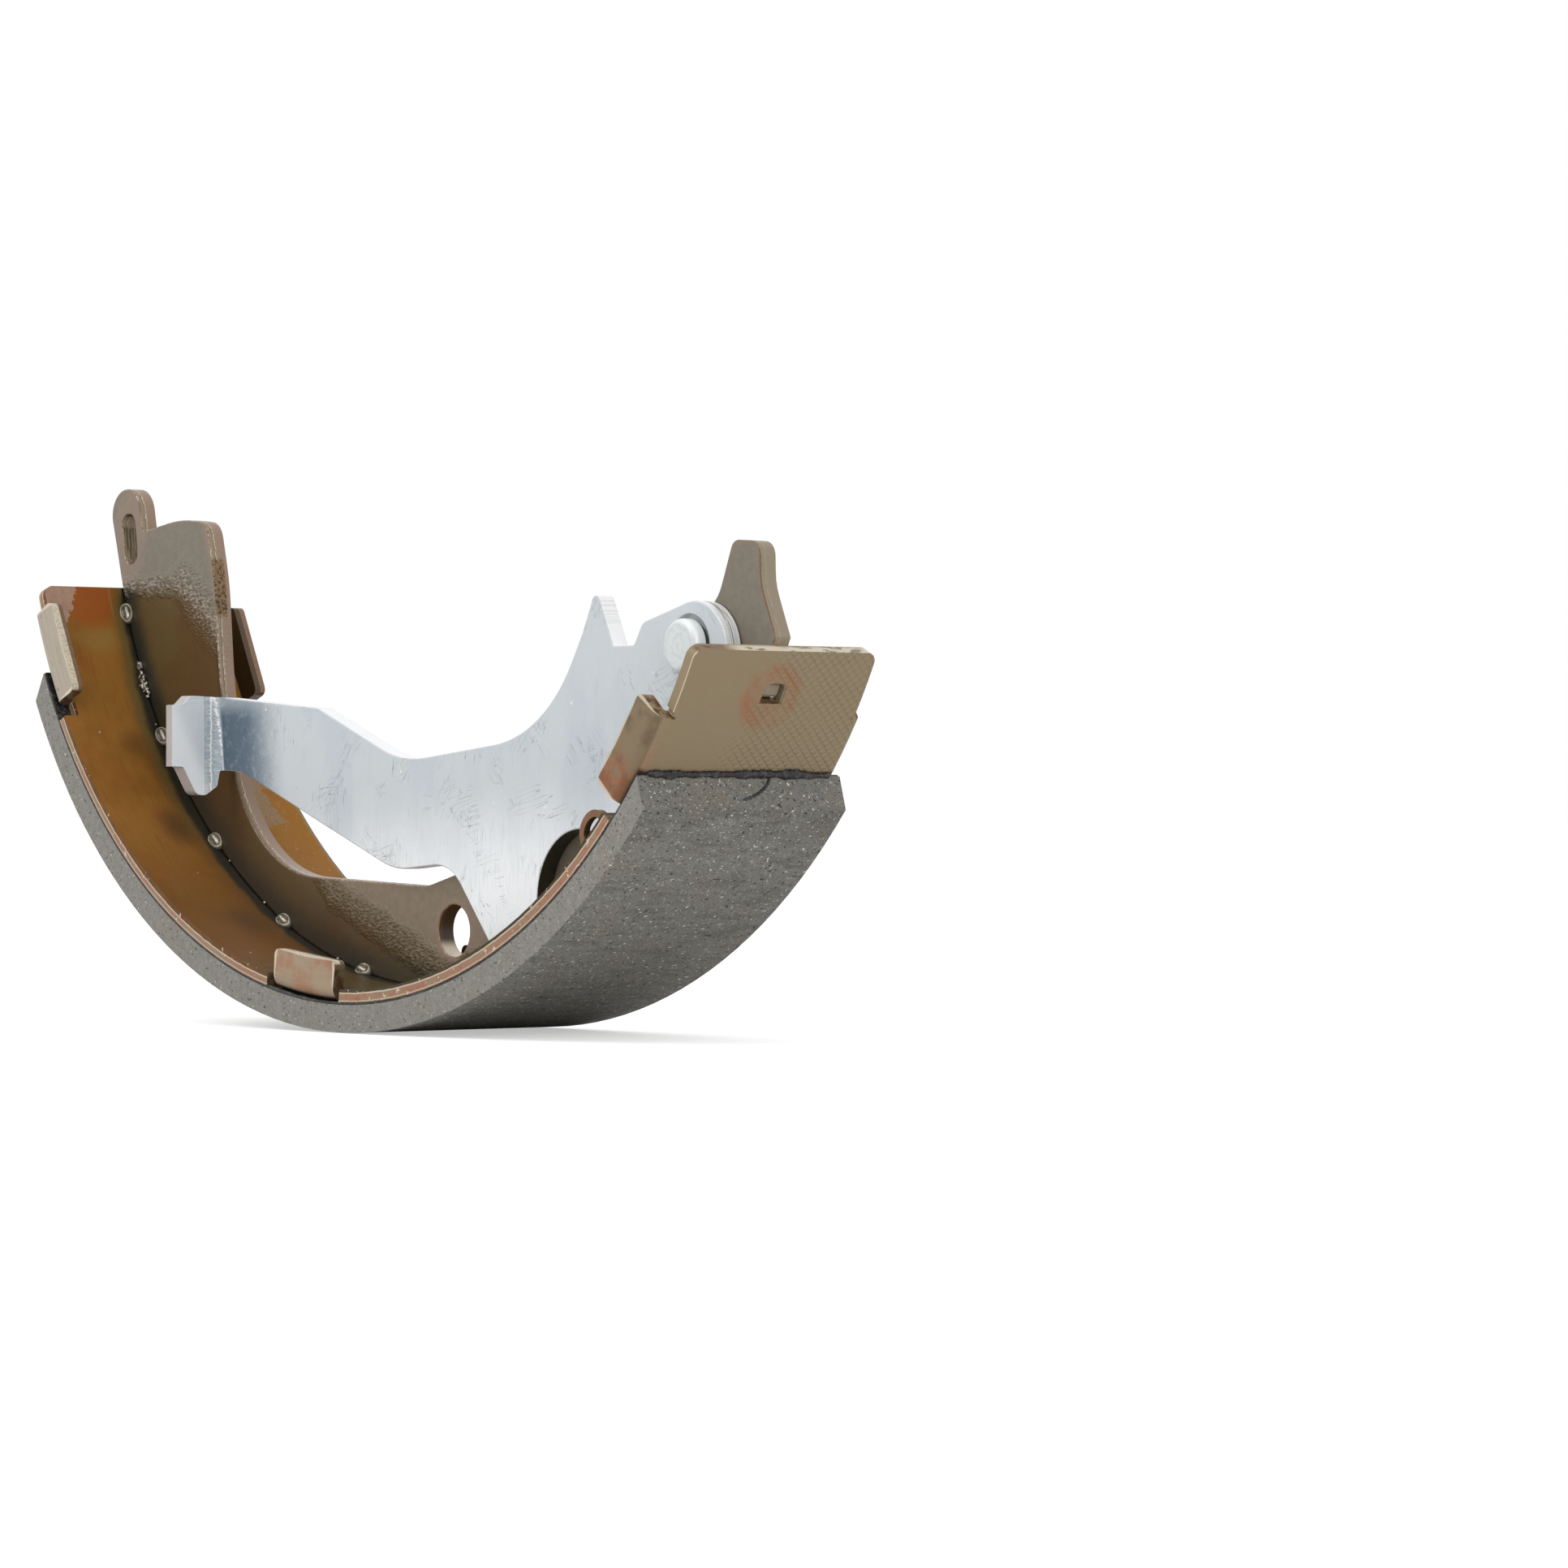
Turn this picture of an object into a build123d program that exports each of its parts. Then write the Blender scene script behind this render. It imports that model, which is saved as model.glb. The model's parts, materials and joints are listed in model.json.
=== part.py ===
from build123d import *
import os
from math import cos, degrees, hypot, radians, sin, tan

# A rear drum-brake shoe with its parking-brake lever. Millimetres and degrees throughout.
# The drum axis is the Y axis. Angles are measured about it from straight down, towards +X.
# Outlines are given as (depth, angle, rounding): depth is how far a point lies inside the
# rim's inner face, and rounding is the radius of the corner there.

# Drum and lining
drum_radius = 130.0
shoe_width = 50.0
lining_thickness = 5.6
lining_half_angle = 57.1
lining_end_setback = 3.9
bond_thickness = 0.5
bond_inset = 0.3

# Rim: one rolled strip with nibs folded in along both edges
rim_thickness = 2.6
rim_left_angle = -66.2
rim_right_angle = 69.9
ear_width = 44.4
ear_corner_radius = 2.3
nib_spacing = 58.15
nib_root_width = 20.6
nib_tip_width = 21.6
nib_height = 8.7
nib_corner_radius = 1.5
nib_bend_radius = 0.4
notch_depth = 3.5
end_notch_width = 4.0
middle_notch_width = 2.5
ear_notch_width = 1.3
loop_angle = 49.2
loop_length = 8.6
loop_height = 3.4
loop_wall = 1.4

# Web: one flat blank welded on edge inside the rim
web_thickness = 3.8
web_edge_rounding = 0.4
toe_tip_angle = -73.5
toe_tip_radius = 5.7
toe_flare = 0.5
heel_end_angle = 69.5
spring_slot_length = 11.0
spring_slot_width = 5.0
spring_slot_depth = 5.5
spring_slot_angle = -70.8
spring_slot_lean = -4.9
hold_down_depth = 11.4
hold_down_angle = 9.9
hold_down_radius = 5.27
tenon_angle = 65.7
tenon_length = 3.6
tenon_recess = 1.2
tenon_rounding = 1.1
tenon_side_gap = 0.8
tenon_end_gap = 0.4
slot_end_rounding = 1.9

# Weld beads along both sides of the web
weld_count = 9
weld_first_angle = -63.3
weld_spacing = 14.55
weld_length = 5.0
weld_height = 2.0

# Parking lever: a flat arm with a flange bent up at its free end
lever_thickness = 3.7
lever_edge_rounding = 0.4
lever_gap = 0.3
lobe_clearance = 0.5
boss_depth = 16.2
boss_angle = 64.7
boss_radius = 10.0
cutout_depth = 5.0
cutout_angle = 34.0
cutout_radius = 14.0
flange_foot_depth = 17.3
flange_foot_angle = -36.1
flange_tilt = 6.3
flange_bend_angle = 76.0
flange_bend_radius = 2.0
flange_length = 9.2
flange_height = 15.5

# Pivot pin: a headed pin riveted over behind the web
pivot_depth = 17.9
pivot_angle = 65.0
pin_radius = 4.0
pin_clearance = 0.05
pin_head_radius = 5.25
pin_head_proud = 2.75
pin_head_rounding = 1.2
pin_neck_radius = 4.6
recess_radius = 6.3
recess_depth = 1.2
head_seat_gap = 0.1
rivet_radius = 4.8
rivet_height = 1.8

# The angle through which the whole shoe rolls to balance on its lining
resting_roll = 6.3

lining_outer = drum_radius
lining_inner = lining_outer - lining_thickness
rim_outer = lining_inner - bond_thickness
rim_inner = rim_outer - rim_thickness
half_width = shoe_width / 2
web_front = web_thickness / 2
lever_back = web_front + lever_gap
lever_front = lever_back + lever_thickness
toe_tip_depth = toe_tip_radius - toe_flare
lobe_depth = weld_height + lobe_clearance
heel_depth = boss_depth - boss_radius

# Outlines run out to this depth, past the rim's inner face, where they are cut off
past_rim = -3.0
# Long enough to pass right through the shoe in any direction
far = drum_radius


def at(depth, angle):
    radius = rim_inner - depth
    return (radius * sin(radians(angle)), -radius * cos(radians(angle)))


def outward(angle):
    return Vector(sin(radians(angle)), 0, -cos(radians(angle)))


def along(angle):
    return Vector(cos(radians(angle)), 0, sin(radians(angle)))


def rolled(section, start, end):
    """Sweep a (radius, width) section round the drum axis between two angles."""
    plane = Plane(origin=(0, 0, 0), x_dir=outward(start), z_dir=along(start))
    return revolve(plane * section, Axis((0, 0, 0), (0, -1, 0)), end - start)


def rolled_bar(inner, outer, width, start, end):
    section = Pos((inner + outer) / 2, 0) * Rectangle(outer - inner, width)
    return rolled(section, start, end)


def punch(shape, angle):
    """A prism through the rim. The shape's x runs along the rim and its y across it."""
    origin = outward(angle) * (rim_outer + rim_thickness)
    plane = Plane(origin=origin, x_dir=along(angle), z_dir=-outward(angle))
    return extrude(plane * shape, 4 * rim_thickness)


def plate(face, front, thickness):
    """A flat blank in the shoe's own plane whose front face looks along -Y."""
    return extrude(Plane.XZ.offset(front - thickness) * face, thickness)


def upright(shape, angle):
    """Turn an outline drawn with y pointing outwards to its place round the drum."""
    return Plane(origin=(0, -far, 0), x_dir=along(angle), z_dir=(0, 1, 0)) * shape


def round_front(solid, rounding, keep):
    """Round the rim of a plate's front face where the test keeps an edge's middle."""
    face = solid.faces().filter_by(Axis.Y).group_by(Axis.Y)[0].sort_by(SortBy.AREA)[-1]
    return fillet([edge for edge in face.edges() if keep(edge @ 0.5)], rounding)


def strip_window(angle, left_gap, right_gap):
    """The clearance blanked out of the strip's edges to fold one pair of nibs."""
    length = nib_root_width + left_gap + right_gap
    reach = notch_depth + 2 * rim_thickness
    shape = Rectangle(length, 2 * reach)
    rounding = 0.45 * min(left_gap, right_gap)
    shape = fillet(shape.vertices().group_by(Axis.Y)[0], rounding)
    place = Pos((right_gap - left_gap) / 2, half_width - notch_depth + reach)
    window = punch(place * shape, angle)
    return window + mirror(window, Plane.XZ)


def nib_pair(angle):
    """Two tabs folded in from the strip's edges, flat on the shoe's side planes."""
    wall = half_width - rim_thickness
    root = half_width - notch_depth - rim_thickness
    tip = rim_outer - nib_height
    foot = tip - rim_thickness
    section = Polyline(
        (rim_inner, root),
        (rim_inner, wall),
        (foot, wall),
        (foot, half_width),
        (rim_outer, half_width),
        (rim_outer, root),
        close=True,
    )
    section = make_face(section)
    outer_corner = section.vertices().sort_by_distance((rim_outer, half_width))[0]
    section = fillet(outer_corner, rim_thickness + nib_bend_radius)
    inner_corner = section.vertices().sort_by_distance((rim_inner, wall))[0]
    section = fillet(inner_corner, nib_bend_radius)
    blank_outline = FilletPolyline(
        (-nib_root_width / 2, rim_outer),
        (-nib_tip_width / 2, tip),
        (nib_tip_width / 2, tip),
        (nib_root_width / 2, rim_outer),
        (nib_root_width / 2, far),
        (-nib_root_width / 2, far),
        radius=[0, nib_corner_radius, nib_corner_radius, 0, 0, 0],
        close=True,
    )
    blank = extrude(upright(make_face(blank_outline), angle), 2 * far)
    span = degrees(nib_tip_width / tip)
    nib = rolled(section, angle - span, angle + span) & blank
    return nib + mirror(nib, Plane.XZ)


def rim_ear(root_angle, end_angle, side):
    """The narrower end of the strip beyond the last nib, with rounded corners."""
    spare = degrees(rim_thickness / rim_outer)
    start = min(root_angle, end_angle - spare)
    end = max(root_angle, end_angle + spare)
    strip = rolled_bar(rim_inner, rim_outer, shoe_width, start, end)
    length = rim_outer / 2
    shape = RectangleRounded(length, ear_width, ear_corner_radius)
    return strip & punch(Pos(-side * length / 2, 0) * shape, end_angle)


def tenon_slot():
    """The hole in the right ear that the web's tenon reaches into."""
    length = tenon_length + 2 * tenon_end_gap
    width = web_thickness + 2 * tenon_side_gap
    shape = Rectangle(length, width)
    shape = fillet(shape.vertices().group_by(Axis.X)[-1], slot_end_rounding)
    return punch(shape, tenon_angle)


def edge_loop():
    """A small arch of strip left standing inside the rim's front edge."""
    outer = Ellipse(loop_length / 2, loop_height)
    inner = Ellipse(loop_length / 2 - loop_wall, loop_height - loop_wall)
    overlap = rim_thickness / 2
    foot = Pos(0, overlap / 2) * Rectangle(loop_length, overlap)
    arch = (outer - inner) + (foot & outer)
    arch -= Pos(0, overlap + far / 2) * Rectangle(far, far)
    blank = extrude(upright(Pos(0, rim_inner) * arch, loop_angle), loop_wall)
    return Pos(0, far - half_width, 0) * blank


def make_rim():
    last_nib = nib_spacing + degrees(nib_root_width / 2 / rim_outer)
    rim = rolled_bar(rim_inner, rim_outer, shoe_width, -last_nib, last_nib)
    rim += rim_ear(-nib_spacing, rim_left_angle, -1)
    rim += rim_ear(nib_spacing, rim_right_angle, 1)
    nibs = (
        (-nib_spacing, ear_notch_width, end_notch_width),
        (0, middle_notch_width, middle_notch_width),
        (nib_spacing, end_notch_width, ear_notch_width),
    )
    for angle, left_gap, right_gap in nibs:
        rim -= strip_window(angle, left_gap, right_gap)
        rim += nib_pair(angle)
    rim -= tenon_slot()
    rim += edge_loop()
    return rim


def web_outline():
    """The blank's outline, closed by an arc beyond the rim's inner face."""
    corners = [
        (past_rim, toe_tip_angle, 0),
        (toe_tip_depth + toe_tip_radius, toe_tip_angle, 0),
        (10.9, -70.9, 0.8),
        (25.6, -70.3, 38),
        (35.3, -67.9, 4.5),
        (33.8, -59.0, 50),
        (22.7, -45.4, 70),
        (3.4, -27.1, 33),
        (20.5, 4.8, 12),
        (23.6, 14.0, 30),
        (25.0, 30.0, 60),
        (25.6, 46.0, 60),
        (28.0, 58.6, 1.5),
        (19.1, 70.6, 8),
        (19.1, 77.2, 2.2),
        (11.1, 78.3, 3),
        (8.1, 74.4, 12),
        (past_rim, heel_end_angle, 0),
    ]
    points = [at(depth, angle) for depth, angle, rounding in corners]
    rounding = [radius for depth, angle, radius in corners[1:-1]]
    inner = FilletPolyline(points, radius=rounding)
    outer = ThreePointArc(points[-1], at(past_rim, 0), points[0])
    return make_face(inner + outer)


def tenon():
    """The tab that stands out of the web's edge into the rim's slot."""
    reach = rim_thickness - tenon_recess
    tab = Box(tenon_length, web_thickness, 2 * reach)
    tab = fillet(tab.edges().filter_by(Axis.Y).group_by(Axis.Z)[0], tenon_rounding)
    origin = outward(tenon_angle) * rim_inner
    place = Plane(origin=origin, x_dir=along(tenon_angle), z_dir=-outward(tenon_angle))
    return place.location * tab


def make_web():
    flare = Polyline(
        at(0, rim_left_angle),
        at(-toe_flare, toe_tip_angle),
        at(toe_tip_radius, toe_tip_angle),
        close=True,
    )
    face = web_outline() & (Circle(rim_inner) + make_face(flare))
    face += Pos(*at(toe_tip_depth, toe_tip_angle)) * Circle(toe_tip_radius)
    face -= Pos(*at(hold_down_depth, hold_down_angle)) * Circle(hold_down_radius)
    face -= Pos(*at(pivot_depth, pivot_angle)) * Circle(pin_radius)
    slot = SlotOverall(spring_slot_length, spring_slot_width)
    slot_turn = spring_slot_angle + spring_slot_lean
    face -= Pos(*at(spring_slot_depth, spring_slot_angle)) * Rot(0, 0, slot_turn) * slot
    web = plate(face, web_front, web_thickness)
    welded_edge = rim_inner - 1
    web = round_front(web, web_edge_rounding, lambda p: hypot(p.X, p.Z) < welded_edge)
    return web + tenon()


def make_lining():
    ring = rolled_bar(lining_inner, lining_outer, shoe_width, -lining_half_angle, lining_half_angle)
    for side in (-1, 1):
        end_angle = side * lining_half_angle
        foot = outward(end_angle) * lining_inner
        top = outward(end_angle) * lining_outer - along(end_angle) * side * lining_end_setback
        plane = Plane(origin=foot, x_dir=(top - foot).normalized(), z_dir=(0, 1, 0))
        cutter = Pos(0, -side * far / 2) * Rectangle(2 * far, far)
        ring -= extrude(plane * cutter, far, both=True)
    return ring


def make_bond():
    width = shoe_width - 2 * bond_inset
    return rolled_bar(rim_outer, lining_inner, width, -lining_half_angle, lining_half_angle)


def weld_beads(side):
    """One row of cratered beads in the corner between the web and the rim."""
    half = Pos(0, weld_height) * Rectangle(weld_length, 2 * weld_height)
    shape = Ellipse(weld_length / 2, weld_height) & half
    crater = Pos(0, side * weld_height, weld_height) * Sphere(weld_height)
    bead = Pos(0, side * web_front, -rim_inner) * (revolve(shape, Axis.X) - crater)
    middle = side * (web_front + weld_height)
    bead &= Pos(0, middle, 0) * Rot(90, 0, 0) * Cylinder(rim_inner, 2 * weld_height)
    angles = [weld_first_angle + index * weld_spacing for index in range(weld_count)]
    return Compound([Rot(0, -angle, 0) * bead for angle in angles])


def flange_frame(foot):
    """Axes at the foot of the bend: x away from the arm, y to the front, z up the bend."""
    up_bend = Vector(-sin(radians(flange_tilt)), 0, cos(radians(flange_tilt)))
    origin = Vector(foot[0], -lever_back, foot[1])
    away = Vector(0, -1, 0).cross(up_bend)
    return Plane(origin=origin, x_dir=away, z_dir=up_bend)


def bent_strip():
    """The bend and the straight flange, taller than the finished flange."""
    turn = radians(flange_bend_angle)
    outer_radius = flange_bend_radius + lever_thickness
    back_corner = outer_radius * tan(turn / 2)
    front_corner = flange_bend_radius * tan(turn / 2)
    back_run = back_corner + flange_length
    front_run = front_corner + flange_length
    section = FilletPolyline(
        (-lever_edge_rounding, 0),
        (back_corner, 0),
        (back_corner + back_run * cos(turn), back_run * sin(turn)),
        (front_corner + front_run * cos(turn), lever_thickness + front_run * sin(turn)),
        (front_corner, lever_thickness),
        (-lever_edge_rounding, lever_thickness),
        radius=[0, outer_radius, 0, 0, flange_bend_radius, 0],
        close=True,
    )
    return extrude(make_face(section), 2 * flange_height, both=True)


def flange_side_view():
    """The flange's outline along the arm, as (reach in front of its back, height, rounding)."""
    front = lever_thickness
    tip = 2 * flange_length
    top = flange_height
    corners = [
        (-1, 0, 0),
        (front + 0.3, 0, 0.3),
        (front + 0.7, -3.4, 1.0),
        (front + 3.0, -5.2, 1.5),
        (front + 5.0, -5.3, 1.8),
        (front + 8.0, 0.8, 0.8),
        (tip, 1.0, 0),
        (tip, top - 1.5, 0),
        (front + 8.0, top - 1.6, 1.2),
        (front + 6.2, top + 0.4, 0.8),
        (front, top + 0.1, 4),
        (-1, top, 0),
    ]
    points = [(reach, height) for reach, height, rounding in corners]
    rounding = [radius for reach, height, radius in corners]
    return make_face(FilletPolyline(points, radius=rounding, close=True))


def lever_outline(foot, top):
    """The arm's outline, from the bend round the hooked end and the lobe and back."""
    corners = [
        (48.2, -22.7, 6),
        (45.8, 2.1, 32),
        (39.2, 37.3, 34),
        (46.9, 53.5, 30),
        (48.9, 60.0, 1.2),
        (47.2, 60.4, 1.0),
        (37.6, 56.9, 0.8),
        (32.6, 59.5, 1.0),
        (32.9, 62.8, 2.5),
        (22.6, 69.0, 0),
        (heel_depth, boss_angle, 0),
        (heel_depth - 0.6, 52.0, 60),
        (heel_depth - 0.6, 40.0, 0),
        (past_rim, cutout_angle, 0),
        (past_rim, cutout_angle - 8, 0),
        (0.7, 20.1, 0),
        (24.7, 12.8, 11),
        (23.4, 1.5, 22),
        (21.2, -33.3, 0.8),
    ]
    points = [foot, top] + [at(depth, angle) for depth, angle, rounding in corners]
    rounding = [0, 0] + [radius for depth, angle, radius in corners]
    return make_face(FilletPolyline(points, radius=rounding, close=True))


def make_lever():
    foot = at(flange_foot_depth, flange_foot_angle)
    frame = flange_frame(foot)
    rise = frame.z_dir * flange_height
    face = lever_outline(foot, (foot[0] + rise.X, foot[1] + rise.Z))
    face &= Circle(rim_inner - lobe_depth)
    face += Pos(*at(boss_depth, boss_angle)) * Circle(boss_radius)
    face -= Pos(*at(cutout_depth, cutout_angle)) * Circle(cutout_radius)
    arm = plate(face, lever_front, lever_thickness)
    arm = round_front(arm, lever_edge_rounding, lambda p: frame.to_local_coords(p).X < -0.1)
    pivot = Pos(*at(pivot_depth, pivot_angle))
    arm -= plate(pivot * Circle(pin_radius + pin_clearance), lever_front, lever_thickness)
    arm -= plate(pivot * Circle(recess_radius), lever_front, recess_depth)
    side_view = extrude(Plane.YZ * flange_side_view(), far, both=True)
    return arm + frame.location * (bent_strip() & side_view)


def make_pin():
    """Turned about the pin's axis: head and neck in front, riveted dome behind the web."""
    head_front = lever_front + pin_head_proud
    head_back = lever_front + head_seat_gap
    neck_back = head_back - recess_depth
    dome = web_front + rivet_height
    profile = FilletPolyline(
        (0, -dome),
        (0, head_front),
        (pin_head_radius, head_front),
        (pin_head_radius, head_back),
        (pin_neck_radius, head_back),
        (pin_neck_radius, neck_back),
        (pin_radius, neck_back),
        (pin_radius, -web_front),
        (rivet_radius, -web_front),
        radius=[0, pin_head_rounding, 0, 0, 0, 0, 0],
    )
    crown = TangentArc((0, -dome), (rivet_radius, -web_front), tangent=(1, 0))
    turned = revolve(make_face(profile + crown), Axis.Y)
    x, z = at(pivot_depth, pivot_angle)
    return Pos(x, 0, z) * Rot(180, 0, 0) * turned


parts = {
    "shoe_rim": make_rim(),
    "shoe_web": make_web(),
    "friction_lining": make_lining(),
    "bond_film": make_bond(),
    "parking_lever": make_lever(),
    "pivot_pin": make_pin(),
    "weld_beads_front": weld_beads(-1),
    "weld_beads_back": weld_beads(1),
}

# The finished shoe stands on the floor with its bounding box centred over the origin
standing = {name: Rot(0, resting_roll, 0) * shape for name, shape in parts.items()}
box = Compound(list(standing.values())).bounding_box()
to_floor = Pos(-box.center().X, -box.center().Y, -box.min.Z)

os.makedirs("parts", exist_ok=True)
for name, shape in standing.items():
    export_step(to_floor * shape, f"parts/{name}.step")
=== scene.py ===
import bpy, bmesh, json, random
from math import cos, degrees, pi, radians, sin
from mathutils import Matrix, Vector


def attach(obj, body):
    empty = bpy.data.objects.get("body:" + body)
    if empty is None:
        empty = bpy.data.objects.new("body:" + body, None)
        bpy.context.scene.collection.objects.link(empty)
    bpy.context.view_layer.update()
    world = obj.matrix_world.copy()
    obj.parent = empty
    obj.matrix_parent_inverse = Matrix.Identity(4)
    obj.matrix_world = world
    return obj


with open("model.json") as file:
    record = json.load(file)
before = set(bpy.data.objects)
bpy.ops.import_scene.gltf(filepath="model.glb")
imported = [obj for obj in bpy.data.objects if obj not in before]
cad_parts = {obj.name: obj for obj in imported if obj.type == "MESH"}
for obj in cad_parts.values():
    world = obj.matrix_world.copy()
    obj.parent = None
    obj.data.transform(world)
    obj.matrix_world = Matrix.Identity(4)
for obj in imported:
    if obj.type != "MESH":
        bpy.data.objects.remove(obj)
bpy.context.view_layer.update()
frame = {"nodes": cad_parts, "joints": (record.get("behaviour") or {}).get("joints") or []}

nodes = frame["nodes"]
mm = 0.001

# The shoe is drawn round the drum's axis. Depth is how far a point lies inside the rim's
# inner face. Arc is its angle from straight down towards +X, before the shoe rolled to its
# rest, and y runs across the shoe. Lengths are millimetres and arcs are degrees, but the
# studio and the camera's offset are in metres.
shoe = {
    "rimInner": 121.3,
    "liningInner": 124.4,
    "liningOuter": 130.0,
    "webFront": 1.9,
    "roll": 6.3,
    "pivotDepth": 17.9,
    "pivotArc": 65.0,
    "holeDepth": 11.4,
    "holeArc": 9.9,
    "liningEnd": 57.1,
    "tenonArc": 65.7,
    "slotX": -108.384,
    "slotZ": 104.148,
    "nibArcs": (-58.15, 0.0, 58.15),
    "nibHalf": 10.6,
    "nibTop": 6.1,
    "beadFirst": -63.3,
    "beadStep": 14.55,
}
arcLength = radians(1) * shoe["rimInner"]

pivot = Vector(frame["joints"][0]["pos_m"])
pivotReach = (shoe["rimInner"] - shoe["pivotDepth"]) * mm
pivotTurn = radians(shoe["pivotArc"] - shoe["roll"])
axle = pivot - Vector((pivotReach * sin(pivotTurn), 0, -pivotReach * cos(pivotTurn)))


def place(radius, arc, y):
    turn = radians(arc - shoe["roll"])
    return axle + Vector((radius * sin(turn), y, -radius * cos(turn))) * mm


def srgb(r, g, b):
    # a 0-255 screen colour as the linear colour a socket takes
    channels = [c / 255 for c in (r, g, b)]
    linear = [c / 12.92 if c <= 0.04045 else ((c + 0.055) / 1.055) ** 2.4 for c in channels]
    return (*linear, 1.0)


class Value:
    # one output socket; arithmetic on it adds Math nodes
    def __init__(self, paint, socket):
        self.paint = paint
        self.socket = socket

    def math(self, operation, *others):
        return self.paint.node("Math", {"operation": operation}, [self, *others])

    def flipped(self, operation, other):
        return self.paint.node("Math", {"operation": operation}, [other, self])

    def __add__(self, other):
        return self.math("ADD", other)

    def __sub__(self, other):
        return self.math("SUBTRACT", other)

    def __mul__(self, other):
        return self.math("MULTIPLY", other)

    def __truediv__(self, other):
        return self.math("DIVIDE", other)

    def __radd__(self, other):
        return self.flipped("ADD", other)

    def __rsub__(self, other):
        return self.flipped("SUBTRACT", other)

    def __rmul__(self, other):
        return self.flipped("MULTIPLY", other)

    def __neg__(self):
        return self.math("MULTIPLY", -1.0)

    def __abs__(self):
        return self.math("ABSOLUTE")

    def high(self, other):
        return self.math("MAXIMUM", other)

    def low(self, other):
        return self.math("MINIMUM", other)


class Paint:
    # a material with one Principled shader and the maths that drives it
    def __init__(self, name):
        self.material = bpy.data.materials.new(name)
        self.material.use_nodes = True
        self.tree = self.material.node_tree
        self.tree.nodes.clear()
        self.output = self.tree.nodes.new("ShaderNodeOutputMaterial")
        self.shader = self.tree.nodes.new("ShaderNodeBsdfPrincipled")
        self.tree.links.new(self.shader.outputs[0], self.output.inputs["Surface"])

    def join(self, socket, value):
        if isinstance(value, Value):
            self.tree.links.new(value.socket, socket)
        elif value is not None:
            socket.default_value = value

    def node(self, kind, settings=None, sockets=None, out=0):
        made = self.tree.nodes.new("ShaderNode" + kind)
        for key, value in (settings or {}).items():
            setattr(made, key, value)
        pairs = sockets.items() if isinstance(sockets, dict) else enumerate(sockets or [])
        for key, value in pairs:
            self.join(made.inputs[key], value)
        return Value(self, made.outputs[out])

    def step(self, value, start, end):
        # 0 up to start, 1 from end on, smooth between, in either direction
        settings = {"interpolation_type": "SMOOTHSTEP"}
        if start < end:
            return self.node("MapRange", settings, [value, start, end, 0.0, 1.0])
        return self.node("MapRange", settings, [value, end, start, 1.0, 0.0])

    def band(self, value, start, end, soft):
        return self.step(value, start - soft, start + soft) * self.step(value, end + soft, end - soft)

    def mix(self, mask, first, second):
        inputs = {0: mask, 6: first, 7: second}
        return self.node("Mix", {"data_type": "RGBA"}, inputs, 2)

    def layers(self, colour, *over):
        # lays (mask, colour) pairs over a first colour, one after another
        for mask, top in over:
            colour = self.mix(mask, colour, top)
        return colour

    def vector(self, x, y, z):
        return self.node("CombineXYZ", {}, [x, y, z])

    def noise(self, vector, scale, detail=2.0, rough=0.5, warp=0.0):
        sockets = {"Vector": vector, "Scale": scale, "Detail": detail}
        sockets.update({"Roughness": rough, "Distortion": warp})
        return self.node("TexNoise", {"noise_dimensions": "3D"}, sockets)

    def specks(self, vector, scale, share, size):
        # scattered dots: share of the cells that hold one, and its radius in cells
        inputs = {"Vector": vector, "Scale": scale}
        distance = self.node("TexVoronoi", {}, inputs)
        cell = self.node("TexVoronoi", {}, inputs, 1)
        chance = self.node("SeparateColor", {}, [cell])
        size = self.node("SeparateColor", {}, [cell], 1) * size + size * 0.4
        return self.step(size - distance, 0.0, 0.05) * self.step(chance, 1 - share, 1.002 - share)

    def finish(self, colour, rough, metal=0.0, bump=None, depth=0.1, **fixed):
        self.join(self.shader.inputs["Base Color"], colour)
        self.join(self.shader.inputs["Roughness"], rough)
        self.join(self.shader.inputs["Metallic"], metal)
        if bump is not None:
            normal = self.node("Bump", {}, {"Height": bump, "Distance": depth * mm, "Strength": 1.0})
            self.join(self.shader.inputs["Normal"], normal)
        for name, value in fixed.items():
            self.shader.inputs[name.replace("_", " ")].default_value = value
        return self.material


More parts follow.
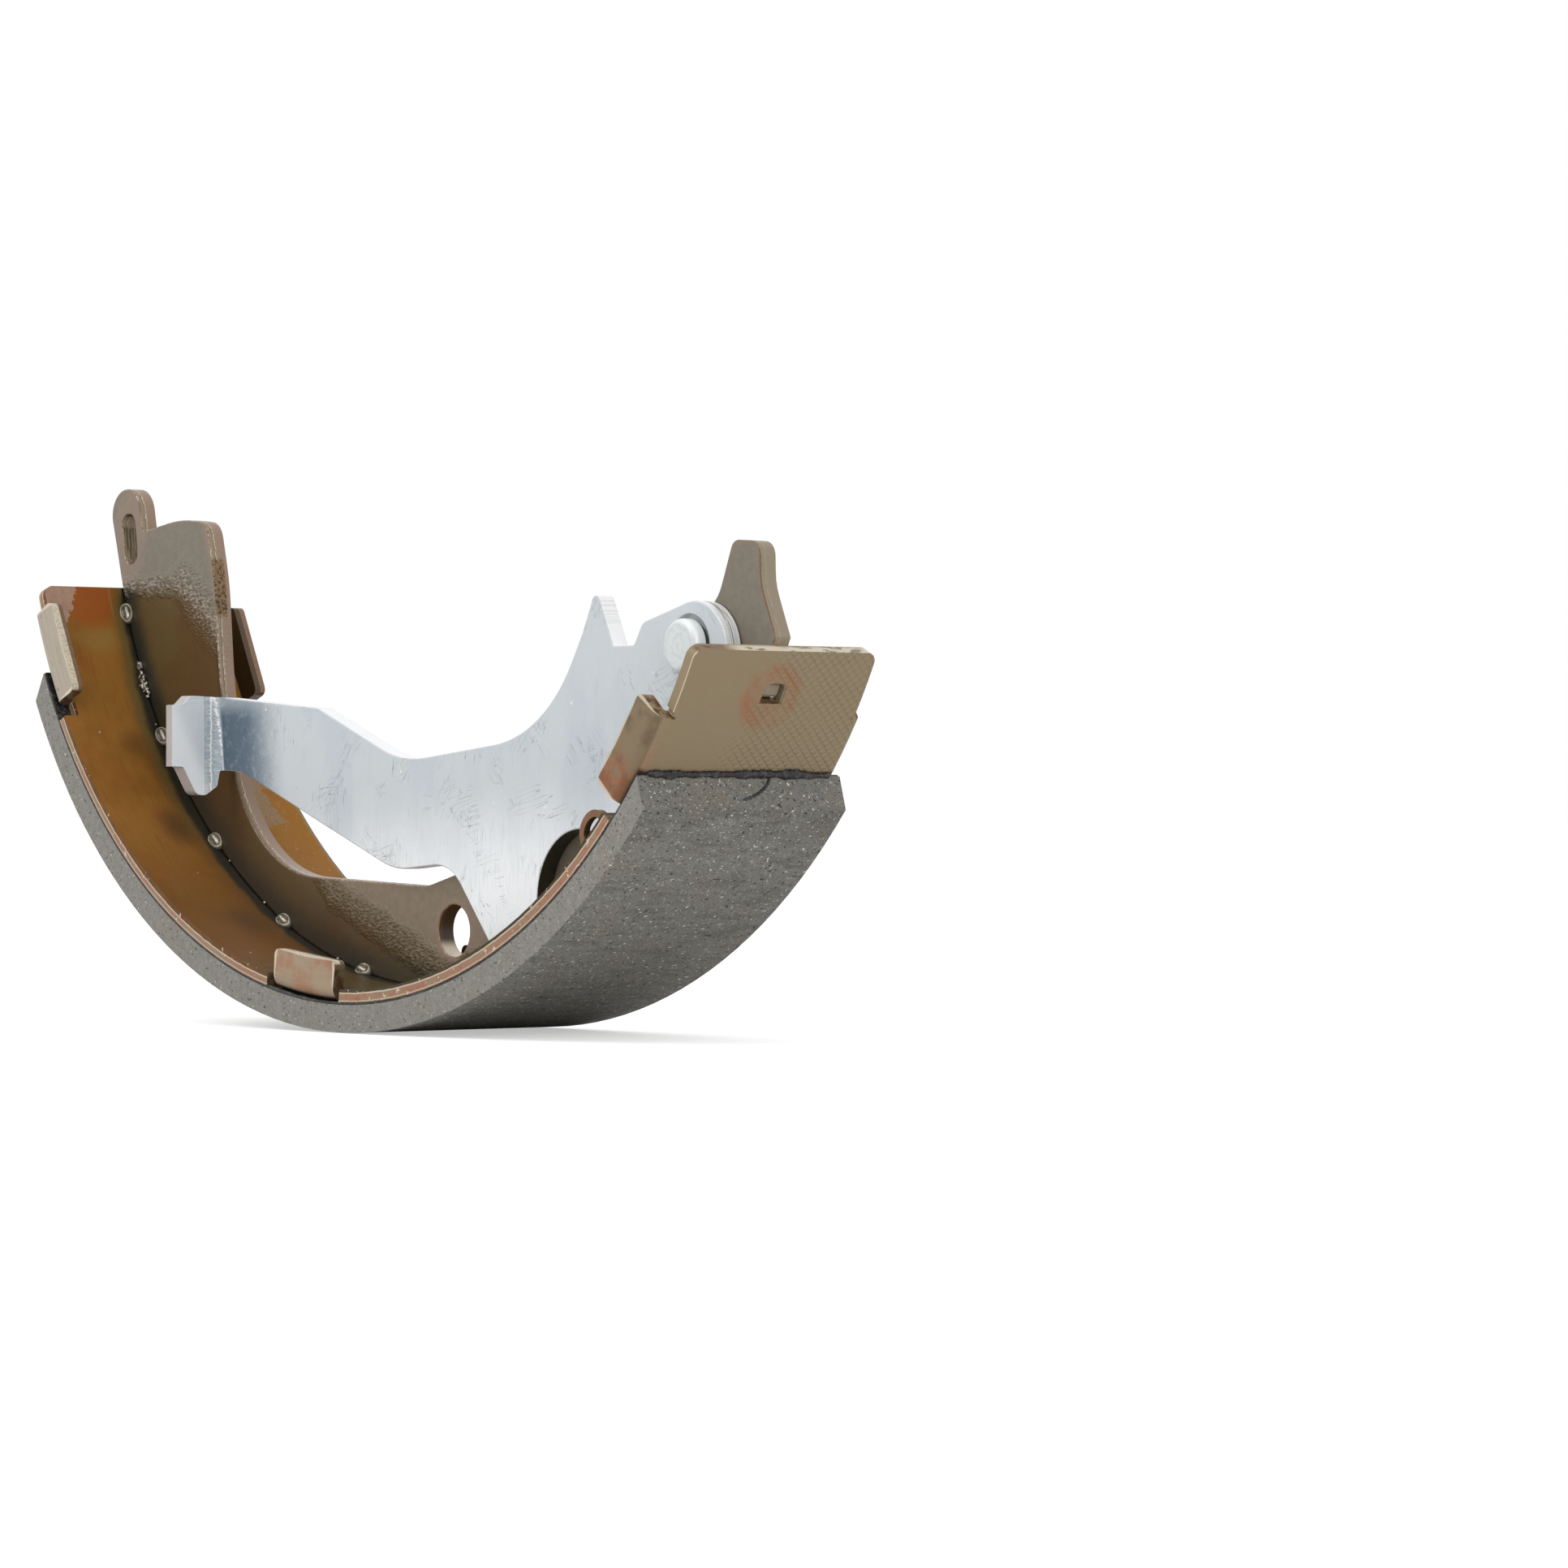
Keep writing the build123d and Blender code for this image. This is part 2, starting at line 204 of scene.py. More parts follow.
class ShoePaint(Paint):
    # a material that knows where it is round the shoe
    def __init__(self, name):
        super().__init__(name)
        point = self.node("TexCoord", {}, {}, 3)
        self.x = self.node("SeparateXYZ", {}, [point], 0) * 1000.0 - axle.x / mm
        self.y = self.node("SeparateXYZ", {}, [point], 1) * 1000.0
        self.z = self.node("SeparateXYZ", {}, [point], 2) * 1000.0 - axle.z / mm
        self.radius = (self.x * self.x + self.z * self.z).math("SQRT")
        turn = self.x.math("ARCTAN2", -self.z)
        self.arc = turn * degrees(1) + shoe["roll"]
        self.run = turn * shoe["rimInner"]
        self.depth = shoe["rimInner"] - self.radius
        self.flat = self.vector(self.x, self.y, self.z)
        self.rolled = self.vector(self.run, self.y, self.radius)
        normal = self.node("NewGeometry", {}, {}, 1)
        normalX = self.node("SeparateXYZ", {}, [normal], 0)
        normalZ = self.node("SeparateXYZ", {}, [normal], 2)
        self.across = self.node("SeparateXYZ", {}, [normal], 1)
        self.sideways = abs(self.across)
        self.outwards = (normalX * self.x + normalZ * self.z) / self.radius
        self.upwards = normalZ

    def spot(self, radius, arc, reach, soft):
        # 1 within reach of a point on the side view, fading over soft
        turn = radians(arc - shoe["roll"])
        dx = self.x - radius * sin(turn)
        dz = self.z + radius * cos(turn)
        return self.step((dx * dx + dz * dz).math("SQRT"), reach + soft, reach)

    def patch(self, arc, y, along, across, soft=0.5):
        # 1 inside an oval on the rolled strip, fading towards its border
        u = (self.arc - arc) * (arcLength / along)
        v = (self.y - y) / across
        return self.step((u * u + v * v).math("SQRT"), 1.0, 1.0 - soft)

    def fromBead(self):
        # length along the rim to the nearest weld
        turn = (self.arc - shoe["beadFirst"]) / shoe["beadStep"] + 0.5
        return abs(turn.math("FRACT") - 0.5) * (shoe["beadStep"] * arcLength)

    def fromNibEdge(self):
        # distance inside the border of the nearest nib's face
        first, middle, last = shoe["nibArcs"]
        along = abs(self.arc - first).low(abs(self.arc - middle)).low(abs(self.arc - last))
        side = shoe["nibHalf"] - along * arcLength
        return side.low(shoe["nibTop"] - self.depth)


def dress(names, material):
    for name in names:
        data = nodes[name].data
        data.materials.clear()
        data.materials.append(material)


lacquer = {
    "amber": srgb(152, 104, 44),
    "honey": srgb(128, 84, 30),
    "orange": srgb(156, 84, 34),
    "ochre": srgb(150, 120, 64),
    "brown": srgb(96, 64, 34),
    "toffee": srgb(98, 63, 25),
    "olive": srgb(82, 70, 42),
    "moss": srgb(108, 94, 52),
    "shade": srgb(48, 44, 34),
    "seam": srgb(24, 22, 18),
    "spot": srgb(84, 60, 34),
    "bare": srgb(188, 158, 140),
    "cream": srgb(214, 202, 180),
    "sand": srgb(148, 130, 106),
    "khaki": srgb(145, 129, 101),
    "salmon": srgb(154, 116, 94),
    "flare": srgb(158, 92, 58),
    "umber": srgb(66, 50, 34),
    "nib": srgb(162, 142, 118),
    "grey": srgb(122, 114, 99),
    "rust": srgb(96, 66, 32),
}


# places and reaches on the pressed strip, its ears and its nibs
strip = {
    # arc, y, length, width, softness, strength, colour
    "stains": (
        (-60.4, -10.0, 4.5, 9.0, 0.9, 0.6, "ochre"),
        (-64.6, -11.5, 7.5, 10.5, 0.5, 0.9, "orange"),
        (-47.9, -9.4, 5.5, 5.0, 0.95, 0.45, "spot"),
        (-36.5, -9.5, 9.0, 6.5, 0.95, 0.8, "spot"),
        (-20.1, -10.7, 9.0, 6.0, 0.95, 0.8, "spot"),
        (-64.6, -5.7, 5.5, 0.5, 0.5, 0.6, "ochre"),
    ),
    "leftEnd": -66.0,
    "beadHalo": (4.6, 2.4),
    "beadStretch": 0.35,
    "seamHalf": 2.2,
    "seamGrowth": (0.17, 2.4),
    "barePatch": (1.4, 13.2),
    "farPatch": (-41.0, 12.0, 20.0, 12.0, 1.0),
    "farGold": srgb(166, 110, 16),
    "treadPitch": (1.85, 2.15),
    "treadSlant": 0.35,
    "earStart": 57.0,
    "earEnd": (68.5, 69.3),
    "tenonShift": (0.4, 0.4),
    "rustRing": (4.6, 6.8),
    "leftNib": srgb(172, 163, 148),
    "rightNib": srgb(130, 113, 88),
    "nibRust": (118.8, 54.2, 2.5, 6.5),
}


def paintInnerFace(p):
    # amber lacquer, darker round the welds and towards the bottom, with painted shade in the corner
    # beside the web
    c = lacquer
    growth, widest = strip["seamGrowth"]
    widening = ((p.arc - strip["leftEnd"]) * growth).low(widest)
    offset = abs(p.y) - strip["seamHalf"] - widening + (p.cloud - 0.5) * 2.5
    beadReach = (p.fromBead() * p.fromBead() * strip["beadStretch"] + p.y * p.y).math("SQRT")
    lengthwise = p.noise(p.vector(p.run * 0.12, p.y * 1.5, p.radius * 1.5), 0.9, 3, 0.6)
    nearSide = p.step(p.y, 4.0, -1.0)
    lowOnLeft = p.step(p.arc, -46.0, -20.0) * nearSide
    bottom = p.step(p.arc, -13.0, -2.0) * nearSide
    stains = [(p.patch(*spread) * strong, c[colour]) for *spread, strong, colour in strip["stains"]]
    inner = p.layers(
        c["amber"],
        (p.step(p.broad, 0.42, 0.6) * 0.8, c["honey"]),
        (p.step(p.cloud, 0.5, 0.72) * 0.35, c["orange"]),
        (p.step(lengthwise, 0.5, 0.72) * 0.25, c["brown"]),
        (p.step(p.grain, 0.45, 0.75) * 0.2, c["brown"]),
        (lowOnLeft * 0.8, c["toffee"]),
        (bottom * 0.9, c["olive"]),
        *stains,
        # olive and moss bands towards the web, then painted shade in the corner next to the seam
        (p.step(offset, 3.4, 1.2) * p.step(p.arc, -30.0, -46.0) * 0.75, c["moss"]),
        (p.step(offset, 5.0, 1.0) * 0.3, c["olive"]),
        (p.step(offset, 1.1, -0.7), c["shade"]),
        (p.step(beadReach, *strip["beadHalo"]) * 0.8, c["seam"]),
        (p.step(abs(p.y), 2.35, 2.15), c["seam"]),
    )

    # bare patches: one at the near corner, one on the far side, flecks all over
    slope, shift = strip["barePatch"]
    border = p.y + (p.arc - strip["leftEnd"]) * slope + shift
    border = border + (p.fine - 0.5) * 7.0 + (p.cloud - 0.5) * 6.0
    nearCorner = p.step(border, 0.12, -0.12) * p.step(p.arc, -58.0, -59.5)
    pale = p.noise(p.rolled, 1.5, 2, 0.8)
    ragged = (p.cloud - 0.5) * 1.6 + (p.fine - 0.5) * 0.8
    farPatch = p.patch(*strip["farPatch"])
    beyondWeb = p.step(farPatch + ragged, 0.3, 0.48) * p.step(farPatch, 0.02, 0.12)
    beyondWeb = beyondWeb * p.step(pale, 0.36, 0.52)
    farSide = p.step(p.y, 1.0, 3.0)
    flecksAndHighlights = p.step(p.noise(p.rolled, 1.6, 2, 0.7), 0.66, 0.72)
    return p.layers(
        inner,
        (p.step(p.y, 6.0, 9.0) * p.step(p.cloud, 0.2, 0.5) * 0.85, strip["farGold"]),
        (beyondWeb * 0.85, c["sand"]),
        (nearCorner, p.mix(p.fine, c["bare"], c["salmon"])),
        (p.specks(p.rolled, 0.45, 0.06, 0.1) * 0.6, c["cream"]),
        (farSide * flecksAndHighlights * 0.6, c["cream"]),
        (p.step(p.y, 24.0, 24.5) * 0.8, c["sand"]),
    )


def paintTread(p):
    # fine diamonds rolled into the outer face of the ears; keeps the mask for the bump and returns
    # painted shade and painted highlights for their facets
    alongPitch, acrossPitch = strip["treadPitch"]
    limit = p.y - (abs(p.arc) - strip["earStart"]) * strip["treadSlant"] + (p.cloud - 0.5) * 8.0
    rolledOn = p.step(limit, -9.0, -2.0) * (0.6 + 0.4 * p.step(p.cloud, 0.35, 0.55))
    rising = abs((p.run * (pi / alongPitch) + p.y * (pi / acrossPitch)).math("SINE"))
    falling = abs((p.run * (pi / alongPitch) - p.y * (pi / acrossPitch)).math("SINE"))
    p.tread = p.step(rising.low(falling), 0.1, 0.75) * rolledOn
    # painted shade on one flank of each diamond, a painted highlight on the other
    treadShade = p.step(rising, 0.45, 0.1) * rolledOn
    treadHighlight = p.step(falling, 0.45, 0.1) * p.step(rising, 0.2, 0.6) * rolledOn
    return treadShade, treadHighlight


def paintEarFace(p):
    c = lacquer
    earArc = abs(p.arc)
    treadShade, treadHighlight = paintTread(p)
    speckled = p.step(p.noise(p.rolled, 1.3, 3, 0.7), 0.45, 0.7)
    alongShift, acrossShift = strip["tenonShift"]
    u = (p.arc - shoe["tenonArc"] + alongShift) * arcLength
    v = p.y + acrossShift
    slotReach = (u * u + v * v).math("SQRT") + (p.cloud - 0.5) * 3.0
    ring = p.band(slotReach, *strip["rustRing"], 1.6) * p.step(p.cloud + p.fine * 0.4, 0.5, 0.8)
    nearCorner = p.step(p.y, -20.0, -24.0) * p.step(earArc, 62.0, 58.0)
    return p.layers(
        c["khaki"],
        (p.step(p.broad, 0.4, 0.62) * 0.25, c["sand"]),
        (speckled * 0.45, c["sand"]),
        (p.step(p.grain, 0.5, 0.8) * 0.25, c["umber"]),
        # painted shade and painted highlights on the tread's facets
        (treadShade * 0.1, c["umber"]),
        (treadHighlight * 0.18, c["cream"]),
        (ring * (1.0 - p.tread * 0.75) * 0.8, c["flare"]),
        (p.step(slotReach, 5.0, 3.4) * 0.25, c["flare"]),
        (nearCorner * 0.5, c["salmon"]),
        (p.step(earArc, 57.7, 57.1), c["umber"]),
    )


def paintCutEdge(p):
    # salmon where it was sheared, with the inner face's colour lapping over it on the left and painted
    # shade along the inner border on the right
    c = lacquer
    salmon = p.layers(
        c["salmon"],
        (p.step(p.cloud, 0.42, 0.62) * 0.7, c["sand"]),
        (p.step(p.dashes, 0.52, 0.66) * p.step(p.arc, -20.0, 10.0) * 0.6, c["flare"]),
    )
    wobble = p.depth + (p.fine - 0.5) * 0.35
    onLeft = p.step(p.arc, 6.0, -12.0)
    shifted = wobble + onLeft * 0.4
    # the inner border: lacquer lapping over on the left, painted shade standing in for a rounded corner
    # on the right
    lapped = p.mix(onLeft, p.mix(p.fine, c["shade"], c["olive"]), p.mix(p.fine, c["honey"], c["umber"]))
    chips = p.step(p.noise(p.rolled, 0.7, 2, 0.6), 0.66, 0.69)
    earEdge = p.mix(p.band(p.depth, -2.3, -2.1, 0.1), c["khaki"], c["cream"])
    return p.layers(
        salmon,
        (p.step(shifted, -0.62, -0.5), lapped),
        (p.band(shifted, -0.86, -0.62, 0.08) * 0.75, c["cream"]),
        (p.band(wobble, -2.4, -2.2, 0.08) * 0.6, c["cream"]),
        (chips * 0.8, c["cream"]),
        (p.step(p.depth, 0.3, 0.6), p.mix(p.cloud, c["sand"], c["salmon"])),
        (p.step(p.arc, 58.0, 60.0), earEdge),
    )


def paintNibFace(p):
    c = lacquer
    onLeft = p.step(p.arc, -30.0, -45.0)
    onRight = p.step(p.arc, 30.0, 45.0)
    onMiddle = p.band(p.arc, -12.0, 12.0, 2.0)
    lines = p.noise(p.vector(p.run * 0.06, p.y, p.radius * 0.9), 1.2, 2, 0.5)
    worn = p.fromNibEdge() + (p.fine - 0.5) * 0.4
    return p.layers(
        c["nib"],
        (p.step(lines, 0.45, 0.65) * 0.35, c["sand"]),
        (onLeft, strip["leftNib"]),
        (onLeft * p.step(lines, 0.42, 0.66) * 0.35, c["nib"]),
        (onRight, strip["rightNib"]),
        (p.step(p.cloud, 0.42, 0.62) * onMiddle * 0.5, c["flare"]),
        (p.spot(*strip["nibRust"]) * p.step(p.fine, 0.3, 0.6) * 0.75, c["flare"]),
        (onRight * p.step(p.cloud, 0.45, 0.6) * 0.35, c["umber"]),
        (p.step(worn, 0.5, 0.25) * 0.75, c["cream"]),
        (p.step(p.fine, 0.62, 0.68) * onLeft * 0.3, c["umber"]),
        # painted shade along the nib's bend into the rim
        (p.step(p.depth, -1.4, -2.2) * 0.8, c["umber"]),
        (p.step(p.fromNibEdge(), -0.6, -1.0), p.mix(p.cloud, c["salmon"], c["brown"])),
    )


def paintStripEnds(p, onNib):
    # everything that faces along the strip: nib tips, notch walls and both ends
    c = lacquer
    sparkle = p.step(p.noise(p.vector(p.run, p.y * 0.6, p.radius), 2.2, 3, 0.7), 0.5, 0.62)
    tip = p.layers(
        c["cream"],
        (sparkle * 0.4, c["brown"]),
        (p.step(p.y, 0.0, 4.0) * 0.7, c["salmon"]),
        # painted shade over the inner part of each tip, so the tips read thinner
        (p.band(p.y, -23.4, -20.0, 0.12) * 0.85, c["brown"]),
        (p.band(p.y, 20.0, 23.8, 0.12) * 0.85, c["umber"]),
        (p.step(p.y, 23.6, 24.0) * 0.5, c["brown"]),
    )
    wall = p.mix(p.step(p.fine, 0.4, 0.6), c["khaki"], c["brown"])
    wall = p.mix(p.step(p.arc, 45.0, 57.0), p.mix(0.6, wall, c["umber"]), wall)
    rightEnd = p.layers(
        c["cream"],
        (p.step(p.dashes, 0.54, 0.66) * 0.7, c["umber"]),
        (p.step(p.y, -10.0, -16.0) * 0.8, c["brown"]),
        (p.step(p.depth, -0.9, -0.3) * 0.6, c["khaki"]),
    )
    return p.layers(
        wall,
        (p.step(p.arc, *strip["earEnd"]), rightEnd),
        (p.step(p.arc, -65.6, -66.0), p.mix(p.fine, c["umber"], c["sand"])),
        (onNib * p.step(p.outwards, -0.3, -0.7), tip),
    )


def makeStripPaint():
    p = ShoePaint("lacqueredStrip")
    p.broad = p.noise(p.rolled, 0.04, 3, 0.55)
    p.cloud = p.noise(p.rolled, 0.13, 3, 0.6)
    p.fine = p.noise(p.rolled, 0.5, 4, 0.6)
    p.grain = p.noise(p.rolled, 2.6, 3, 0.7)
    p.dashes = p.noise(p.vector(p.run, p.y * 0.5, p.radius), 0.8, 2, 0.5)
    onNib = p.step(p.depth, 0.05, 0.25)
    rootOfNib = p.step(p.fromNibEdge(), 0.0, 0.1)
    side = p.mix(onNib.high(rootOfNib), paintCutEdge(p), paintNibFace(p))
    # painted shade on the nib faces that face into the shoe
    inwardNib = p.step(p.y * p.across, -1.0, -6.0) * onNib
    side = p.mix(inwardNib, side, p.mix(p.fine, lacquer["umber"], lacquer["shade"]))
    inside = p.step(p.outwards, -0.3, -0.7) * (1.0 - p.step(p.depth, 0.4, 0.7))
    outside = p.step(p.outwards, 0.3, 0.7)
    colour = p.layers(
        paintStripEnds(p, onNib),
        (inside, paintInnerFace(p)),
        (outside, paintEarFace(p)),
        (p.step(p.sideways, 0.55, 0.8), side),
    )
    bump = p.grain * 0.2 + p.fine * 0.3 + p.tread * outside * 1.1
    rough = 0.32 + p.fine * 0.15 + outside * 0.15
    fixed = {"Coat_Weight": 0.04, "Coat_Roughness": 0.12, "Specular_IOR_Level": 0.14}
    return p.finish(colour, rough, 0.0, bump, 0.12, **fixed)


# the plate's colours, some of them painted shade and painted highlights, and where its dipped part
# ends, measured from the axle
web = {
    "dusk": srgb(94, 77, 47),
    "russet": srgb(88, 62, 34),
    "dim": srgb(66, 49, 29),
    "paintedCornerShade": srgb(48, 47, 38),
    "pink": srgb(148, 122, 106),
    "heel": srgb(134, 119, 96),
    "glint": srgb(172, 146, 106),
    "border": srgb(68, 40, 18),
    "fingerEdge": srgb(144, 133, 112),
    "fingerRust": srgb(120, 76, 40),
    "edgeRust": srgb(124, 95, 52),
    "edgePits": srgb(62, 44, 22),
    "toeLine": {"height": -36.8, "bend": -93.0, "slope": 0.77},
    "heelLine": {"height": -102.4, "bend": -37.5, "rightSlope": 0.4, "leftSlope": 1.2},
    "rightPatch": (11.0, 18.0),
    "slotStretch": 3.6,
    "slotReach": (6.3, 5.9),
    "rustHeight": (-43.5, -31.5),
    "rustAcross": (-2.2, 1.0),
}


def findDippedPart(p):
    # height over the wrinkled border of the dipped part, and masks that follow from it
    toe, heel = web["toeLine"], web["heelLine"]
    ragged = (p.fine - 0.5) * 3.0 + (p.cloud - 0.5) * 3.0
    p.onHeelSide = p.step(p.x, -62.0, -52.0)
    toeSide = p.z - toe["height"] + ((p.x - toe["bend"]) * toe["slope"]).high(0.0) + ragged
    past = p.x - heel["bend"]
    slopes = past.high(0.0) * heel["rightSlope"] + past.low(0.0) * heel["leftSlope"]
    heelSide = p.z - heel["height"] + slopes + ragged
    p.above = toeSide + (heelSide - toeSide) * p.onHeelSide
    p.dipped = p.step(p.above + (p.hammered - 0.5) * 8.0, 2.2, -2.2)
    spread = 1.0 + 1.2 * (p.step(p.x, -99.0, -88.0) - 0.33) * p.step(p.x, -52.0, -62.0)
    p.rightPatch = p.step(p.depth + p.fine * 3.0, 9.5, 7.5) * p.band(p.arc, *web["rightPatch"], 1.0)
    p.wrinkled = p.band(p.above / spread, -3.0, 4.5, 1.2).high(p.rightPatch)
    p.textured = p.band(p.above / spread, -1.5, 3.4, 1.3).high(p.rightPatch)


def paintWebFace(p):
    c = lacquer
    lowOnLeft = p.band(p.arc, -50.0, -8.0, 6.0) * p.step(p.depth, 14.0, 6.0)
    innerBorder = p.step(p.x + p.z * 0.13 + (p.fine - 0.5), -86.6, -84.6)
    innerBorder = innerBorder * p.band(p.z, -72.0, -46.0, 3.0) * p.step(p.x, -60.0, -66.0)
    dark = p.layers(
        web["dusk"],
        (p.step(p.broad, 0.4, 0.6) * 0.8, web["russet"]),
        # painted shade where the plate meets the rim
        (p.step(p.depth + (p.cloud - 0.5) * 3.0, 7.5, 1.5), web["paintedCornerShade"]),
        (lowOnLeft * 0.5, web["dim"]),
        (p.step(p.x, -30.0, -8.0) * 0.6, c["olive"]),
        (p.step(p.grain, 0.5, 0.8) * 0.2, c["umber"]),
        (innerBorder * 0.9, web["border"]),
        (p.step(p.depth, 0.5, 0.1), c["seam"]),
    )
    aroundHole = p.spot(shoe["rimInner"] - shoe["holeDepth"], shoe["holeArc"], 6.0, 1.2)
    aroundSlot = p.step(p.slotReach + (p.fine - 0.5) * 4.0, 14.0, 8.0)
    besideEdge = p.step(p.x + p.z * 0.3 + (p.fine - 0.5) * 3.0, -92.5, -90.0)
    besideEdge = besideEdge * p.step(p.x, -60.0, -70.0)
    # painted highlights on the wrinkles' crests and painted shade in their dips
    flecksAndHighlights = p.step(p.hammered, 0.54, 0.64) * p.textured
    wrinkleShade = p.step(p.hammered, 0.46, 0.36) * p.textured
    return p.layers(
        c["grey"],
        (p.onHeelSide * p.step(p.x, 50.0, 20.0), web["heel"]),
        (p.step(p.above, 6.0, 2.0) * p.onHeelSide * 0.5, c["olive"]),
        (p.step(p.broad, 0.45, 0.65) * 0.3, web["pink"]),
        (p.step(p.cloud, 0.52, 0.7) * 0.2, web["pink"]),
        (p.step(p.fine, 0.4, 0.6) * 0.12, c["umber"]),
        (aroundHole * 0.5, web["pink"]),
        (aroundSlot * 0.45, web["pink"]),
        (besideEdge * 0.6, web["pink"]),
        (p.dipped, dark),
        (p.rightPatch * 0.85, c["olive"]),
        (flecksAndHighlights * 0.32, p.mix(p.onHeelSide, c["cream"], web["glint"])),
        (wrinkleShade * 0.55, c["umber"]),
        (p.specks(p.flat, 0.4, 0.05, 0.12) * 0.5, c["sand"]),
    )


def paintSlotWall(p):
    c = lacquer
    stripes = p.noise(p.vector(p.x, p.y * 2.2, p.z * 0.12), 1.2, 2, 0.5)
    crack = p.band(p.y + (p.noise(p.flat, 0.5, 2) - 0.5) * 1.6, -0.1, 0.15, 0.08)
    return p.layers(
        p.mix(p.step(stripes, 0.4, 0.6), c["khaki"], c["olive"]),
        (crack * p.step(p.slotZ, 2.6, 2.0) * 0.9, c["seam"]),
        # painted shadow at the top of the slot
        (p.step(p.slotZ, 2.6, 3.4), c["shade"]),
    )


def paintWebEdge(p):
    # cut edges: a sheared band in front, torn metal behind
    c = lacquer
    tear = p.y + (p.noise(p.flat, 1.2, 2) - 0.5) * 0.8
    dotted = p.band(tear, -0.75, -0.5, 0.1) * p.step(p.ochre, 0.42, 0.5)
    hole = p.spot(shoe["rimInner"] - shoe["holeDepth"], shoe["holeArc"], 5.6, 0.3)
    edge = p.layers(
        c["sand"],
        (p.step(p.cloud, 0.4, 0.62) * 0.5, web["pink"]),
        (p.step(tear, -0.5, 0.3) * 0.7, web["pink"]),
        (dotted * 0.75, c["cream"]),
        (p.band(tear, -1.05, -0.8, 0.1) * 0.5, c["umber"]),
        # painted shade inside the hole, with painted light on the parts of its wall that face up
        (hole, p.mix(p.step(p.y, -0.6, -1.2), c["umber"], c["brown"])),
        (hole * p.step(p.upwards, 0.3, 0.7), c["cream"]),
        (p.step(p.slotReach, *web["slotReach"]), paintSlotWall(p)),
    )
    onFinger = p.step(p.x, 60.0, 70.0)
    return p.mix(onFinger * 0.75, edge, web["fingerEdge"])


def makeWebPaint():
    p = ShoePaint("lacqueredPlate")
    c = lacquer
    p.broad = p.noise(p.flat, 0.045, 3, 0.5)
    p.cloud = p.noise(p.flat, 0.16, 3, 0.6)
    p.fine = p.noise(p.flat, 0.5, 4, 0.6)
    p.grain = p.noise(p.flat, 2.4, 3, 0.7)
    p.hammered = p.noise(p.vector(p.x * 0.75, p.y, p.z * 1.5), 1.15, 2, 0.6)
    p.ochre = p.noise(p.vector(p.x * 0.8, p.y * 1.4, p.z * 0.7), 1.3, 3, 0.7)
    slotX = p.x - (shoe["slotX"] - axle.x / mm)
    p.slotZ = p.z - (shoe["slotZ"] - axle.z / mm)
    p.slotReach = (slotX * slotX * web["slotStretch"] + p.slotZ * p.slotZ).math("SQRT")
    findDippedPart(p)

    # rust and bright flakes along the edges
    cutEdge = p.step(p.sideways, 0.97, 0.88)
    onToe = p.step(p.x, -60.0, -70.0)
    rusted = p.band(p.y, *web["rustAcross"], 0.2) * cutEdge
    rusted = rusted * p.band(p.z, *web["rustHeight"], 0.8) * onToe
    pitted = p.noise(p.flat, 1.7, 2, 0.6)
    speckle = p.step(p.ochre, 0.5, 0.56) * p.band(p.y, -1.7, 0.0, 0.4)
    frontLine = p.step(p.depth, 24.0, 20.0) * p.dipped * p.step(p.y, -1.0, -1.4)
    rounding = p.band(p.sideways, 0.3, 0.9, 0.06) * p.step(p.y, 0.0, -1.0)
    flaked = rounding * p.step(p.ochre, 0.5, 0.6) * p.step(p.x, 70.0, 60.0)
    rustLine = rounding * p.step(p.ochre, 0.44, 0.5) * p.step(p.x, 60.0, 70.0)
    crust = p.mix(p.step(p.cloud, 0.42, 0.55), c["brown"], c["sand"])
    colour = p.layers(
        paintWebFace(p),
        (p.step(p.sideways, 0.6, 0.3), paintWebEdge(p)),
        (rounding * 0.55, crust),
        (flaked * 0.5, c["cream"]),
        (rustLine * 0.8, web["fingerRust"]),
        (rusted * 0.85, web["edgeRust"]),
        (rusted * p.step(pitted, 0.5, 0.56), web["edgePits"]),
        (speckle * cutEdge * p.step(p.fine, 0.6, 0.7) * 0.6, c["rust"]),
        (cutEdge * frontLine * 0.6, c["rust"]),
    )
    bump = p.hammered * p.wrinkled * 3.4 + p.grain * 0.1 + p.fine * 0.2
    rough = 0.36 + p.fine * 0.12 - p.dipped * 0.06
    fixed = {"Coat_Weight": 0.12, "Coat_Roughness": 0.15, "Specular_IOR_Level": 0.35}
    return p.finish(colour, rough, 0.0, bump, 0.16, **fixed)


compound = {
    "base": srgb(124, 122, 115),
    "lighter": srgb(148, 145, 137),
    "darker": srgb(90, 89, 82),
    "white": srgb(236, 231, 218),
    "black": srgb(36, 34, 31),
    "tan": srgb(136, 118, 94),
    "slopeStart": (54.2, 54.9),
    "smear": (51.8, 54.6),
}


